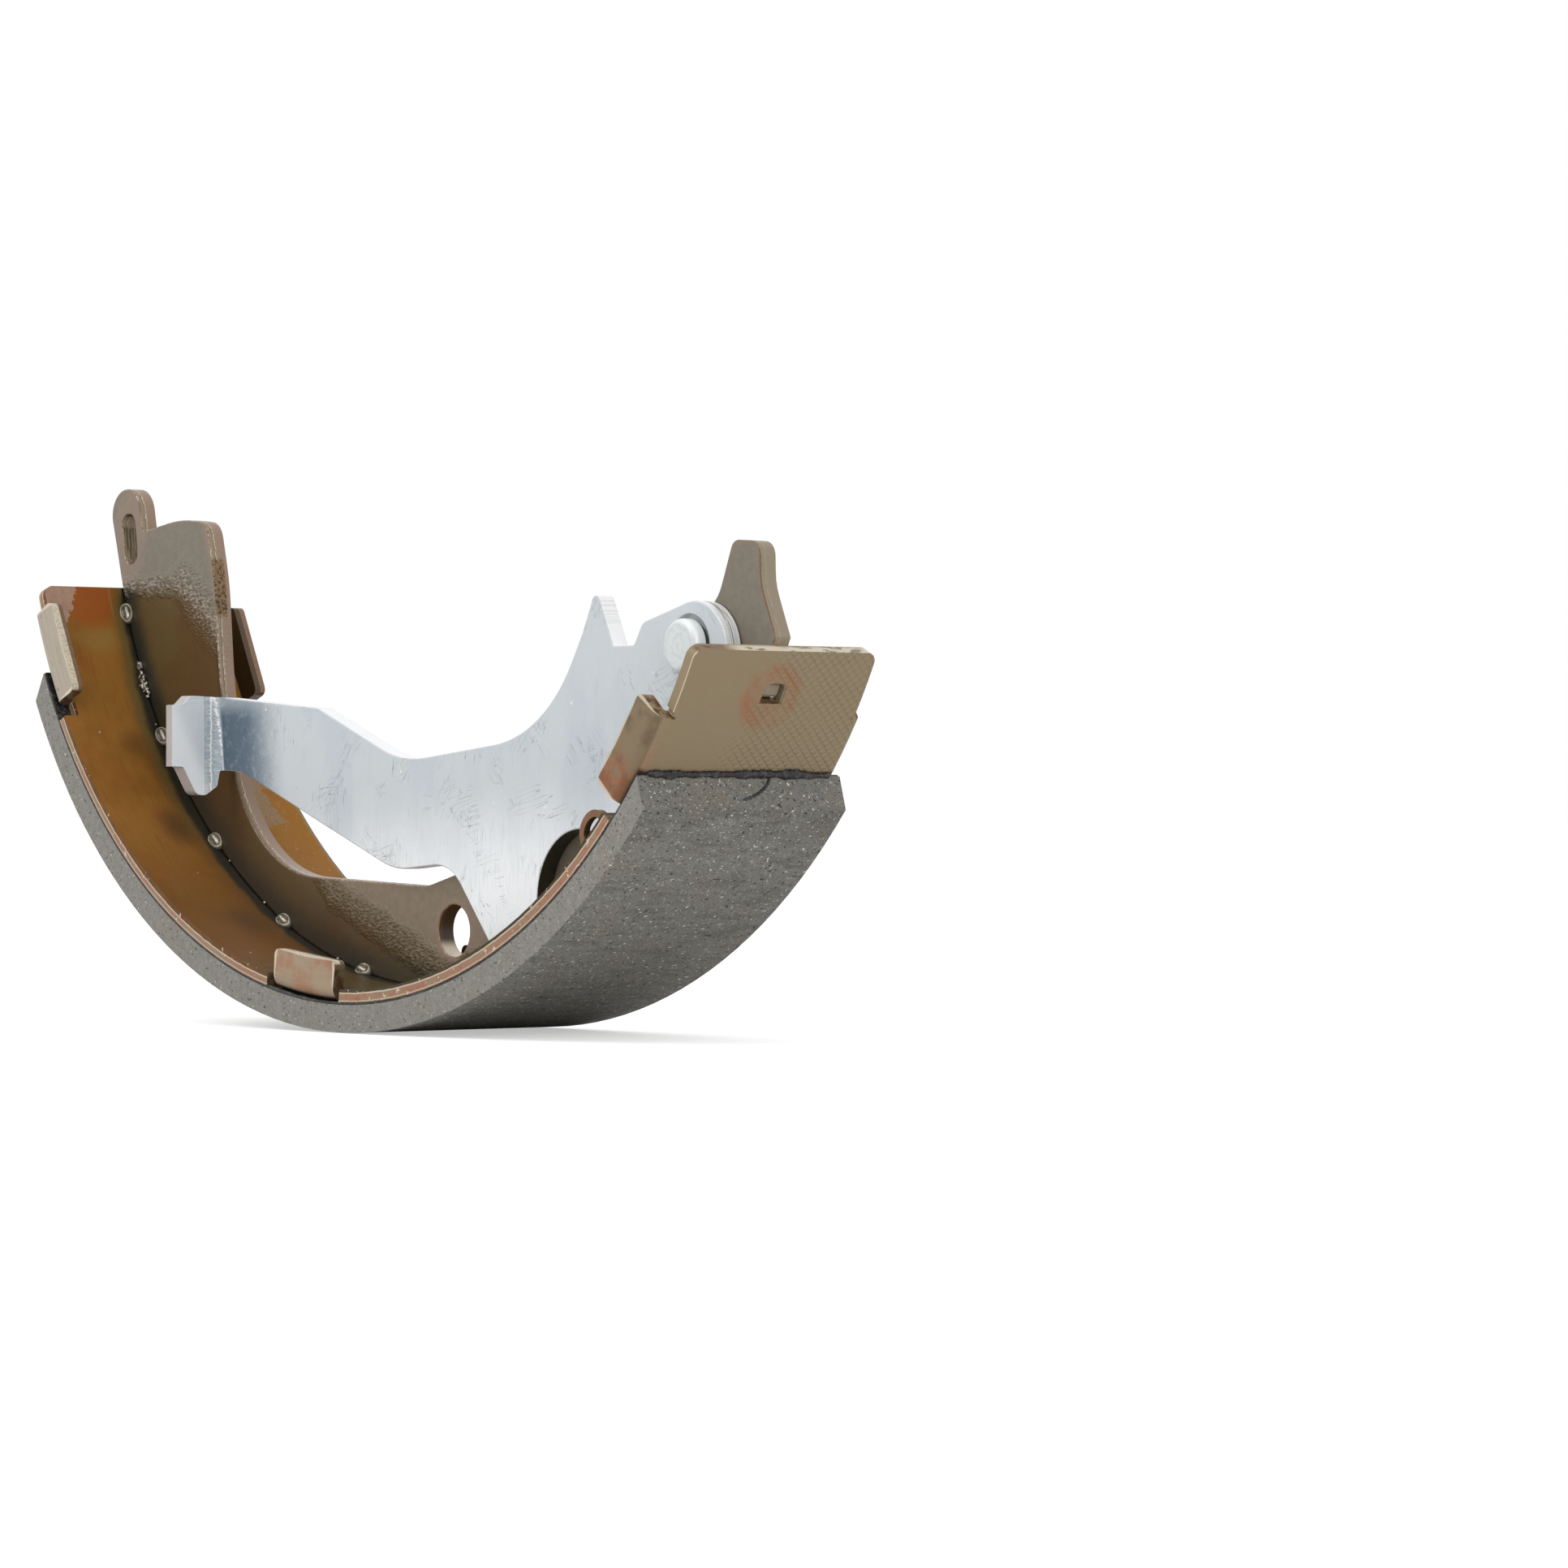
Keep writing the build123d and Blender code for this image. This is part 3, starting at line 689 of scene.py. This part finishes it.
def makeLiningPaint():
    p = ShoePaint("frictionCompound")
    c = compound
    streak = p.noise(p.vector(p.run * 0.5, p.y * 0.08, p.radius), 1.0, 3, 0.6)
    cloud = p.noise(p.flat, 0.1, 3, 0.6)
    fine = p.noise(p.flat, 0.9, 4, 0.65)
    grain = p.noise(p.flat, 3.2, 3, 0.8)
    outer = p.step(p.outwards, 0.75, 0.95)
    side = p.step(p.sideways, 0.6, 0.9)
    slope = p.step(p.arc, *c["slopeStart"]) * (1.0 - side)
    smear = p.band(p.arc + (fine - 0.5) * 1.2, *c["smear"], 0.6) * p.step(cloud, 0.4, 0.55)
    stretched = p.vector(p.run * 1.1, p.y * 0.7, p.radius * 1.1)
    chips = p.noise(stretched, 1.25, 2, 0.6)
    crumbs = p.noise(stretched, 2.4, 2, 0.6)
    whiteDots = p.step(chips, 0.67, 0.7).high(p.step(crumbs, 0.655, 0.69) * 0.85)
    blackDots = p.step(chips, 0.35, 0.32).high(p.step(crumbs, 0.36, 0.32) * 0.9)
    dots = p.specks(p.flat, 0.45, 0.16, 0.1)
    colour = p.layers(
        c["base"],
        (p.step(fine, 0.35, 0.65) * 0.6, c["lighter"]),
        (p.step(streak, 0.48, 0.64) * outer * 0.45, c["darker"]),
        (p.step(grain, 0.45, 0.7) * 0.5, c["darker"]),
        (slope * 0.35, c["darker"]),
        (smear * outer.high(slope) * 0.35, c["darker"]),
        (side * 0.25, c["lighter"]),
        (p.step(cloud, 0.5, 0.7) * 0.2, c["tan"]),
        (whiteDots.high(dots) * (0.85 - side * 0.3), c["white"]),
        (blackDots * (0.85 - side * 0.1), c["black"]),
    )
    bump = grain * 0.6 + fine * 0.5 - blackDots * 0.8 + whiteDots * 0.3
    rough = 0.85 - whiteDots * 0.35
    return p.finish(colour, rough, 0.0, bump, 0.14)


def makeGluePaint():
    p = Paint("curedAdhesive")
    fine = p.noise(p.node("TexCoord", {}, {}, 3), 900.0, 3, 0.6)
    colour = p.mix(p.step(fine, 0.45, 0.7), srgb(26, 24, 23), srgb(74, 72, 72))
    return p.finish(colour, 0.28 + fine * 0.3, 0.0, fine, 0.3)


# the lever's plating; its foot, where the flange is bent out, is a depth and an arc
zinc = {
    "pale": srgb(202, 207, 210),
    "bright": srgb(250, 252, 253),
    "cool": srgb(190, 199, 205),
    "blue": srgb(74, 94, 110),
    "steel": srgb(140, 154, 162),
    "bend": srgb(164, 176, 182),
    "bendLine": srgb(96, 108, 116),
    "white": srgb(255, 255, 255),
    "grey": srgb(138, 140, 138),
    "beige": srgb(190, 178, 168),
    "cutoutReflection": srgb(62, 60, 46),
    "foot": (17.3, -36.1),
    "footLean": 0.11,
    "blueReach": (24.0, 8.0),
    "bendAcross": (-9.5, -9.2),
    "boss": (16.2, 64.7, 11.5, 1.0),
    "notchAlong": (34.0, 66.0),
    # direction in radians and seed of each family of scratches
    "scratches": ((0.9, 3.0), (2.3, 11.0), (0.25, 23.0), (1.5, 31.0)),
}


def paintPlating(p):
    # pale and blotchy, with painted light making it whiter low down
    broad = p.noise(p.vector(p.x * 1.6, p.y, p.z * 0.7), 0.05, 3, 0.5)
    upright = p.noise(p.vector(p.x * 1.5, p.y, p.z * 0.15), 1.0, 3, 0.6)
    # painted light: the plate brightens towards its lower part
    lower = p.x * 0.003 - p.z / 22.0 - 3.73 + (broad - 0.5) * 0.6
    return p.layers(
        zinc["pale"],
        (p.step(broad, 0.52, 0.36) * 0.6, zinc["cool"]),
        (p.step(lower, -0.1, 1.1), zinc["bright"]),
        (p.step(upright, 0.5, 0.7) * 0.3, zinc["cool"]),
        (p.step(p.grain, 0.5, 0.75) * 0.12, zinc["steel"]),
    )


def paintBend(p):
    p.ripple = p.noise(p.vector(p.x * 0.5, p.y * 0.5, p.z * 2.2), 1.4, 2, 0.6)
    waver = p.fromBend + (p.noise(p.flat, 0.8, 2) - 0.5) * 0.9
    return p.layers(
        zinc["bend"],
        (p.step(p.ripple, 0.45, 0.62) * 0.6, zinc["pale"]),
        # painted highlights along the bend, with a line of painted shade where it meets the flange
        (p.band(p.y + (p.ripple - 0.5) * 1.0, -8.0, -7.7, 0.12) * 0.9, zinc["white"]),
        (p.band(p.y, *zinc["bendAcross"], 0.12) * 0.5, zinc["bendLine"]),
        (p.band(waver, -0.4, 0.0, 0.15) * p.step(p.ripple, 0.4, 0.5) * 0.8, zinc["white"]),
    )


def findScratches(p):
    found = None
    for turn, seed in zinc["scratches"]:
        u = p.x * cos(turn) + p.z * sin(turn)
        v = p.z * cos(turn) - p.x * sin(turn)
        line = p.noise(p.vector(u * 0.06, v * 0.8, seed), 1.0, 2, 0.5, 0.4)
        where = p.step(p.noise(p.vector(p.x, p.z, seed), 0.09, 2), 0.58, 0.63)
        thin = p.step(abs(line - 0.5), 0.006, 0.002) * where
        found = thin if found is None else found.high(thin)
    return found


def makeZincPaint():
    p = ShoePaint("zincPlate")
    fine = p.noise(p.flat, 0.5, 4, 0.6)
    p.grain = p.noise(p.flat, 3.2, 3, 0.75)
    footDepth, footArc = zinc["foot"]
    foot = (place(shoe["rimInner"] - footDepth, footArc, 0) - axle) / mm
    p.fromBend = p.x - foot.x + (p.z - foot.z) * zinc["footLean"]
    facing = p.step(p.across, -0.6, -0.9)

    # a blue band beside the bend, fading into the plating
    speckled = p.fromBend + (p.grain - 0.5) * 8.0 + (fine - 0.5) * 2.5
    band = p.step(speckled, *zinc["blueReach"]) * p.step(p.fromBend, -0.2, 0.4) * facing
    band = band * (0.55 + 0.45 * p.step(p.z - foot.z, 15.0, 11.0))
    band = band * (1.0 - 0.2 * p.step(fine, 0.5, 0.7))
    bendColour = paintBend(p)
    bend = p.step(p.y, *zinc["bendAcross"]) * p.step(p.fromBend, 0.6, 0.0)
    bend = bend * p.step(p.sideways, 0.99, 0.95) * p.step(p.y, -1.0, -3.0)

    # cut edges, white where they were sheared, that white partly a painted highlight; the cut-out's
    # wall carries a dark painted reflection
    bossDepth, *bossPlace = zinc["boss"]
    cut = p.step(p.sideways, 0.7, 0.4) * p.step(p.fromBend, 2.0, 5.0)
    onBoss = p.spot(shoe["rimInner"] - bossDepth, *bossPlace) * p.step(p.x, 82.0, 88.0)
    torn = p.noise(p.vector(p.x * 0.12, p.y * 3.0, p.z * 0.12), 1.0, 3, 0.6)
    tornColour = p.mix(p.step(torn, 0.42, 0.6), zinc["white"], zinc["grey"])
    flange = p.step(p.fromBend, -2.0, -3.0)
    rim = flange * p.step(p.across, -0.5, -0.8)
    cutoutReflection = cut * p.band(p.x, *zinc["notchAlong"], 3.0) * p.step(p.z, -78.0, -84.0)
    scratch = findScratches(p)
    stain = p.step(p.noise(p.flat, 0.35, 4, 0.8), 0.66, 0.72)
    colour = p.layers(
        paintPlating(p),
        (band * 0.95, zinc["blue"]),
        # sheared metal is bright, and the near white is partly a painted highlight
        (cut * 0.8, zinc["white"]),
        (cut * onBoss * p.band(p.y, -4.5, -2.9, 0.3) * 0.9, tornColour),
        (bend, bendColour),
        (flange * p.step(p.sideways, 0.5, 0.3) * 0.4, zinc["bright"]),
        (rim * 0.7, zinc["beige"]),
        # painted shade on the flange faces that face down
        (flange * p.step(p.upwards, -0.3, -0.8) * 0.3, zinc["grey"]),
        # dark painted reflection of the rim on the cut-out's wall
        (cutoutReflection, zinc["cutoutReflection"]),
        (scratch * facing * (1.0 - band) * 0.6, zinc["grey"]),
        (stain * facing * 0.3, zinc["beige"]),
        (p.specks(p.flat, 0.35, 0.08, 0.1) * 0.5, zinc["white"]),
    )
    bump = p.grain * 0.15 + fine * 0.3 - scratch * 0.8 + bend * p.ripple * 4.0
    rough = 0.4 + fine * 0.14 - band * 0.1
    return p.finish(colour, rough, 0.2, bump, 0.05)


pin = {
    "steel": srgb(214, 219, 219),
    "ring": srgb(180, 182, 180),
    "polished": srgb(236, 238, 238),
    "edge": srgb(246, 248, 248),
    "neck": srgb(84, 82, 80),
    "neckRadius": (4.95, 4.75),
    "ringPitch": 3.4,
}


def makePinPaint():
    p = ShoePaint("turnedSteel")
    centre = (place(shoe["rimInner"] - shoe["pivotDepth"], shoe["pivotArc"], 0) - axle) / mm
    dx = p.x - centre.x
    dz = p.z - centre.z
    reach = (dx * dx + dz * dz).math("SQRT")
    fine = p.noise(p.flat, 1.1, 4, 0.65)
    rings = reach * pin["ringPitch"] + p.noise(p.flat, 0.5, 3) * 9.0 + fine * 5.0
    rings = rings.math("SINE")
    front = p.step(p.across, -0.5, -0.9)
    # painted shade on the side under the pin's head
    neck = p.step(reach, *pin["neckRadius"]) * p.step(p.sideways, 0.6, 0.3)
    colour = p.layers(
        pin["steel"],
        (p.step(rings, 0.2, 1.0) * front * 0.22, pin["ring"]),
        (p.step(fine, 0.5, 0.7) * 0.4, pin["polished"]),
        # painted highlight on the rounded rim of the head
        (p.step(p.sideways, 0.9, 0.5) * 0.8, pin["edge"]),
        (neck, pin["neck"]),
    )
    bump = rings * front * 0.15 + fine * 0.8
    return p.finish(colour, 0.4 + fine * 0.15, 0.3, bump, 0.08)


weld = {
    "metal": srgb(118, 108, 88),
    "bright": srgb(214, 207, 190),
    "dark": srgb(52, 46, 36),
    "halfLength": 2.3,
    "height": 2.0,
    "bars": 8.0,
}


def makeWeldPaint():
    p = ShoePaint("weldMetal")
    fine = p.noise(p.flat, 1.6, 4, 0.6)
    along = p.fromBead() / weld["halfLength"]
    over = (abs(p.y) - shoe["webFront"] - p.depth) / weld["height"]
    reach = (along * along + over * over).math("SQRT") + (fine - 0.5) * 0.2
    bars = ((over + (fine - 0.5) * 0.4) * weld["bars"] + 0.8).math("COSINE")
    middle = p.step(reach, 0.7, 0.5)
    colour = p.layers(
        weld["metal"],
        # painted highlights and painted shade in bands standing in for the ripples, with painted shade
        # round the bead's border
        (p.step(bars, 0.1, 0.7) * middle * 0.85, weld["bright"]),
        (p.step(bars, -0.2, -0.8) * middle * 0.8, weld["dark"]),
        (p.band(reach, 0.66, 0.74, 0.04) * 0.8, weld["dark"]),
        (p.band(reach, 0.8, 0.92, 0.04) * 0.8, weld["bright"]),
        (p.step(reach, 0.98, 1.08) * 0.9, weld["dark"]),
    )
    return p.finish(colour, 0.28 + fine * 0.15, 0.3, fine, 0.15)


def makeSpatterPaint():
    p = Paint("spatteredMetal")
    fine = p.noise(p.node("TexCoord", {}, {}, 3), 1500.0, 3, 0.6)
    colour = p.mix(p.step(fine, 0.45, 0.6), srgb(84, 74, 58), srgb(226, 220, 206))
    return p.finish(colour, 0.16 + fine * 0.2, 0.5, fine, 0.1)


glue = makeGluePaint()
weldMetal = makeWeldPaint()
spatterMetal = makeSpatterPaint()
dress(["shoe_rim"], makeStripPaint())
dress(["shoe_web"], makeWebPaint())
dress(["friction_lining"], makeLiningPaint())
dress(["bond_film"], glue)
dress(["parking_lever"], makeZincPaint())
dress(["pivot_pin"], makePinPaint())
dress(["weld_beads_front", "weld_beads_back"], weldMetal)
print("finishes laid on the solids")


def keep(name, bm, material, body):
    # turns a finished bmesh into an object that rides on a body
    bmesh.ops.remove_doubles(bm, verts=bm.verts, dist=1e-6)
    bmesh.ops.recalc_face_normals(bm, faces=bm.faces)
    mesh = bpy.data.meshes.new(name)
    bm.to_mesh(mesh)
    bm.free()
    mesh.shade_smooth()
    mesh.materials.append(material)
    piece = bpy.data.objects.new(name, mesh)
    bpy.context.scene.collection.objects.link(piece)
    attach(piece, body)


def makeRope(path, sections):
    # a rope along a path of points; each section is (wide, high, up direction)
    rings = len(path)
    bm = bmesh.new()
    bmesh.ops.create_cone(bm, cap_ends=True, segments=8, radius1=1, radius2=1, depth=1)
    lengthwise = [
        edge for edge in bm.edges
        if abs(edge.verts[0].co.z - edge.verts[1].co.z) > 0.5
    ]
    bmesh.ops.subdivide_edges(bm, edges=lengthwise, cuts=rings - 2, use_grid_fill=True)
    for vert in bm.verts:
        index = round((vert.co.z + 0.5) * (rings - 1))
        ahead = path[min(index + 1, rings - 1)] - path[max(index - 1, 0)]
        wide, high, up = sections[index]
        sideways = ahead.cross(up).normalized()
        vert.co = path[index] + sideways * (vert.co.x * wide) + up * (vert.co.y * high)
    return bm


# each drip is a place across the shoe and a size
glueEnd = {
    "radius": 124.25,
    "from": -22.6,
    "to": 22.6,
    "rings": 120,
    "first": 0.5,
    "thin": 0.45,
    "thick": 1.1,
    "change": 0.2,
    "drift": 0.08,
    "farthest": 0.2,
    "setback": 0.15,
    "drips": ((-17.0, 1.5), (-6.0, 1.0), (0.5, 1.4), (11.0, 0.9), (17.5, 1.2)),
    "dripHalf": 1.7,
    "dripFall": 0.25,
    "dripWidth": 0.45,
    "dripHeight": 0.2,
    "least": 0.35,
}


def makeGlueEnd():
    g = glueEnd
    rng = random.Random(5)
    path, sections = [], []
    thickness, shift = g["first"], 0.0
    for index in range(g["rings"]):
        y = g["from"] + (g["to"] - g["from"]) * index / (g["rings"] - 1)
        thickness += rng.uniform(-g["change"], g["change"])
        thickness = min(max(thickness, g["thin"]), g["thick"])
        shift += rng.uniform(-g["drift"], g["drift"])
        shift = min(max(shift, -g["farthest"]), g["farthest"])
        drip = sum(size * max(0.0, 1 - abs(y - at) / g["dripHalf"]) for at, size in g["drips"])
        arc = shoe["liningEnd"] + (g["setback"] + shift) / arcLength - drip * g["dripFall"] / arcLength
        path.append(place(g["radius"], arc, y))
        up = (place(g["radius"] + 1, arc, y) - place(g["radius"], arc, y)).normalized()
        taper = min(1.0, 0.25 + min(index, g["rings"] - 1 - index) * 0.35)
        wide = (thickness + drip * g["dripWidth"]) * taper * mm
        high = (g["least"] + thickness * 0.5 + drip * g["dripHeight"]) * taper * mm
        sections.append((wide, high, up))
    keep("adhesive_bead", makeRope(path, sections), glue, "shoe")


# each point is a place across the shoe and a share of the lining's thickness
strand = {
    "points": (
        (7.4, 0.02),
        (7.0, 0.12),
        (6.5, 0.24),
        (5.4, 0.38),
        (3.8, 0.52),
        (1.8, 0.64),
        (-0.4, 0.72),
    ),
    "rings": 40,
    "setback": 3.9,
    "thick": 0.34,
    "lift": 0.05,
}


def makeStrand():
    # a thin thread of adhesive lying on the lining's sloping end
    foot, top = shoe["liningInner"], shoe["liningOuter"]
    path, sections = [], []
    points, rings = strand["points"], strand["rings"]
    for index in range(rings):
        where = index / (rings - 1) * (len(points) - 1)
        low = min(int(where), len(points) - 2)
        part = where - low
        y = points[low][0] * (1 - part) + points[low + 1][0] * part
        rise = points[low][1] * (1 - part) + points[low + 1][1] * part
        radius = foot + (top - foot) * rise
        arc = shoe["liningEnd"] - rise * strand["setback"] / (radians(1) * top)
        normal = place(radius, arc + 1.0, y) - place(radius, arc, y)
        lift = place(radius + 1.4, arc, y) - place(radius, arc, y)
        up = (normal.normalized() + lift.normalized() * 0.7).normalized()
        path.append(place(radius, arc, y) + up * (strand["lift"] * mm))
        thick = strand["thick"] * (0.6 + 0.5 * sin(index * 0.9) ** 2)
        thick = thick * min(1.0, 0.3 + min(index, rings - 1 - index) * 0.2) * mm
        sections.append((thick, thick * 0.8, up))
    keep("adhesive_strand", makeRope(path, sections), glue, "shoe")


glueEdge = {
    "radius": 124.15,
    "y": 24.78,
    "rings": 300,
    "inset": 0.6,
    "flat": 0.2,
    "first": 0.2,
    "change": 0.05,
    "thin": 0.1,
    "thick": 0.42,
    "fuller": (-8, 50),
    "extra": 0.15,
}


def makeGlueEdge(name, side, seed):
    # what was pressed out of the joint along the lining's long side
    g = glueEdge
    rng = random.Random(seed)
    path, sections = [], []
    reach = shoe["liningEnd"] - g["inset"]
    thickness = g["first"]
    low, high = g["fuller"]
    for index in range(g["rings"]):
        arc = -reach + 2 * reach * index / (g["rings"] - 1)
        more = g["extra"] if low < arc < high else 0.0
        thickness += rng.uniform(-g["change"], g["change"])
        thickness = min(max(thickness, g["thin"]), g["thick"])
        path.append(place(g["radius"], arc, side * g["y"]))
        taper = min(1.0, 0.2 + min(index, g["rings"] - 1 - index) * 0.2)
        outward = (place(1, arc, 0) - axle).normalized()
        sections.append((g["flat"] * taper * mm, (thickness + more) * taper * mm, outward))
    keep(name, makeRope(path, sections), glue, "shoe")


spatter = {
    "first": -56.3,
    "last": -53.6,
    "count": 34,
    "small": 0.25,
    "large": 0.6,
    "nearest": 0.25,
    "outSpread": 1.2,
    "deepSpread": 0.8,
    "stretch": (1.0, 1.7),
    "swell": 1.15,
    "shrink": 0.6,
    "dropOut": 0.45,
    "dropDeep": 0.5,
    # single drops, as an arc and a size
    "drops": ((-57.3, 0.7), (-57.1, 0.6), (-23.5, 0.3), (-9.6, 0.35), (-31.0, 0.25)),
}


def makeSpatter():
    # splashes of weld metal in the corner beside the web
    s = spatter
    rng = random.Random(11)
    drops = []
    for index in range(s["count"]):
        arc = s["first"] + (s["last"] - s["first"]) * index / (s["count"] - 1)
        size = rng.uniform(s["small"], s["large"])
        size = size * (s["swell"] - s["shrink"] * index / s["count"])
        out = s["nearest"] + rng.uniform(0, s["outSpread"])
        deep = s["nearest"] + rng.uniform(0, s["deepSpread"])
        drops.append((arc, out, deep, size))
    drops += [(arc, s["dropOut"], s["dropDeep"], size) for arc, size in s["drops"]]
    bm = bmesh.new()
    for arc, out, deep, size in drops:
        made = bmesh.ops.create_icosphere(bm, subdivisions=2, radius=1)
        stretch = rng.uniform(*s["stretch"])
        spin = Matrix.Rotation(radians(shoe["roll"] - arc), 4, "Y")
        scale = Matrix.Diagonal((size * stretch * mm, size * mm, size * mm, 1))
        centre = place(shoe["rimInner"] - deep, arc, -shoe["webFront"] - out)
        placed = Matrix.Translation(centre) @ spin @ scale
        bmesh.ops.transform(bm, matrix=placed, verts=made["verts"])
    keep("weld_spatter", bm, spatterMetal, "shoe")


makeGlueEnd()
makeStrand()
makeGlueEdge("adhesive_seam_front", -1, 21)
makeGlueEdge("adhesive_seam_back", 1, 22)
makeSpatter()
print("adhesive and spatter made")


studio = {
    "floorSize": 8.0,
    "floorDrop": 0.0001,
    "floorColour": (0.82, 0.82, 0.82, 1),
    "floorLift": 0.46,
    "skyStrength": 0.8,
    "skyColour": (0.985, 0.99, 1.0, 1),
    "lamps": (
        ("keyLamp", (-0.6, -1.5, 1.7), 15.5, 1.3),
        ("fillLamp", (1.7, -0.5, 0.7), 5.0, 1.0),
    ),
    "aim": (0.0, 0.0, 0.05),
}


def makeFloor():
    mesh = bpy.data.meshes.new("floor")
    bm = bmesh.new()
    bmesh.ops.create_grid(bm, x_segments=1, y_segments=1, size=studio["floorSize"])
    bm.to_mesh(mesh)
    bm.free()
    floor = bpy.data.objects.new("floor", mesh)
    bpy.context.scene.collection.objects.link(floor)
    floor.location.z = -studio["floorDrop"]
    p = Paint("paleFloor")
    seen = p.node("LightPath", {}, {}, 0)
    lift = studio["floorLift"]
    glow = p.mix(seen, (0, 0, 0, 1), (lift, lift, lift, 1))
    p.join(p.shader.inputs["Emission Color"], glow)
    p.shader.inputs["Emission Strength"].default_value = 1.0
    mesh.materials.append(p.finish(studio["floorColour"], 0.9))


def makeWorld():
    world = bpy.data.worlds.new("studioSky")
    world.use_nodes = True
    tree = world.node_tree
    tree.nodes.clear()

    def add(kind):
        return tree.nodes.new("ShaderNode" + kind)

    output = add("OutputWorld")
    path = add("LightPath")
    seen = add("Background")
    lit = add("Background")
    pick = add("MixShader")
    either = add("Math")
    anyOf = add("Math")
    either.operation = "MAXIMUM"
    anyOf.operation = "MAXIMUM"
    seen.inputs["Color"].default_value = (1, 1, 1, 1)
    seen.inputs["Strength"].default_value = 1.0
    lit.inputs["Color"].default_value = studio["skyColour"]
    lit.inputs["Strength"].default_value = studio["skyStrength"]
    tree.links.new(path.outputs["Is Camera Ray"], either.inputs[0])
    tree.links.new(path.outputs["Is Glossy Ray"], either.inputs[1])
    tree.links.new(either.outputs[0], anyOf.inputs[0])
    tree.links.new(path.outputs["Is Transmission Ray"], anyOf.inputs[1])
    tree.links.new(anyOf.outputs[0], pick.inputs[0])
    tree.links.new(lit.outputs[0], pick.inputs[1])
    tree.links.new(seen.outputs[0], pick.inputs[2])
    tree.links.new(pick.outputs[0], output.inputs["Surface"])
    bpy.context.scene.world = world


def makeLamps():
    for name, at, power, size in studio["lamps"]:
        data = bpy.data.lights.new(name, "AREA")
        data.shape = "DISK"
        data.size = size
        data.energy = power
        lamp = bpy.data.objects.new(name, data)
        lamp.location = at
        aim = Vector(studio["aim"]) - Vector(at)
        lamp.rotation_euler = aim.to_track_quat("-Z", "Y").to_euler()
        bpy.context.scene.collection.objects.link(lamp)


camera = {
    "offset": (0.94032, -0.68814, -0.08434),
    "yaw": 50.36,
    "pitch": -0.22,
    "lens": 130.82,
    "sensor": 36.0,
    "clipStart": 0.01,
}


def makeCamera():
    data = bpy.data.cameras.new("camera")
    data.lens = camera["lens"]
    data.sensor_width = camera["sensor"]
    data.clip_start = camera["clipStart"]
    view = bpy.data.objects.new("camera", data)
    yaw, pitch = radians(camera["yaw"]), radians(camera["pitch"])
    ahead = Vector((-sin(yaw) * cos(pitch), cos(yaw) * cos(pitch), -sin(pitch)))
    right = Vector((cos(yaw), sin(yaw), 0))
    above = right.cross(ahead)
    turn = Matrix((right, above, -ahead)).transposed().to_4x4()
    view.matrix_world = Matrix.Translation(axle + Vector(camera["offset"])) @ turn
    bpy.context.scene.collection.objects.link(view)
    bpy.context.scene.camera = view


makeFloor()
makeWorld()
makeLamps()
makeCamera()
bpy.context.scene.view_settings.view_transform = "Standard"
print("floor, light and camera set")
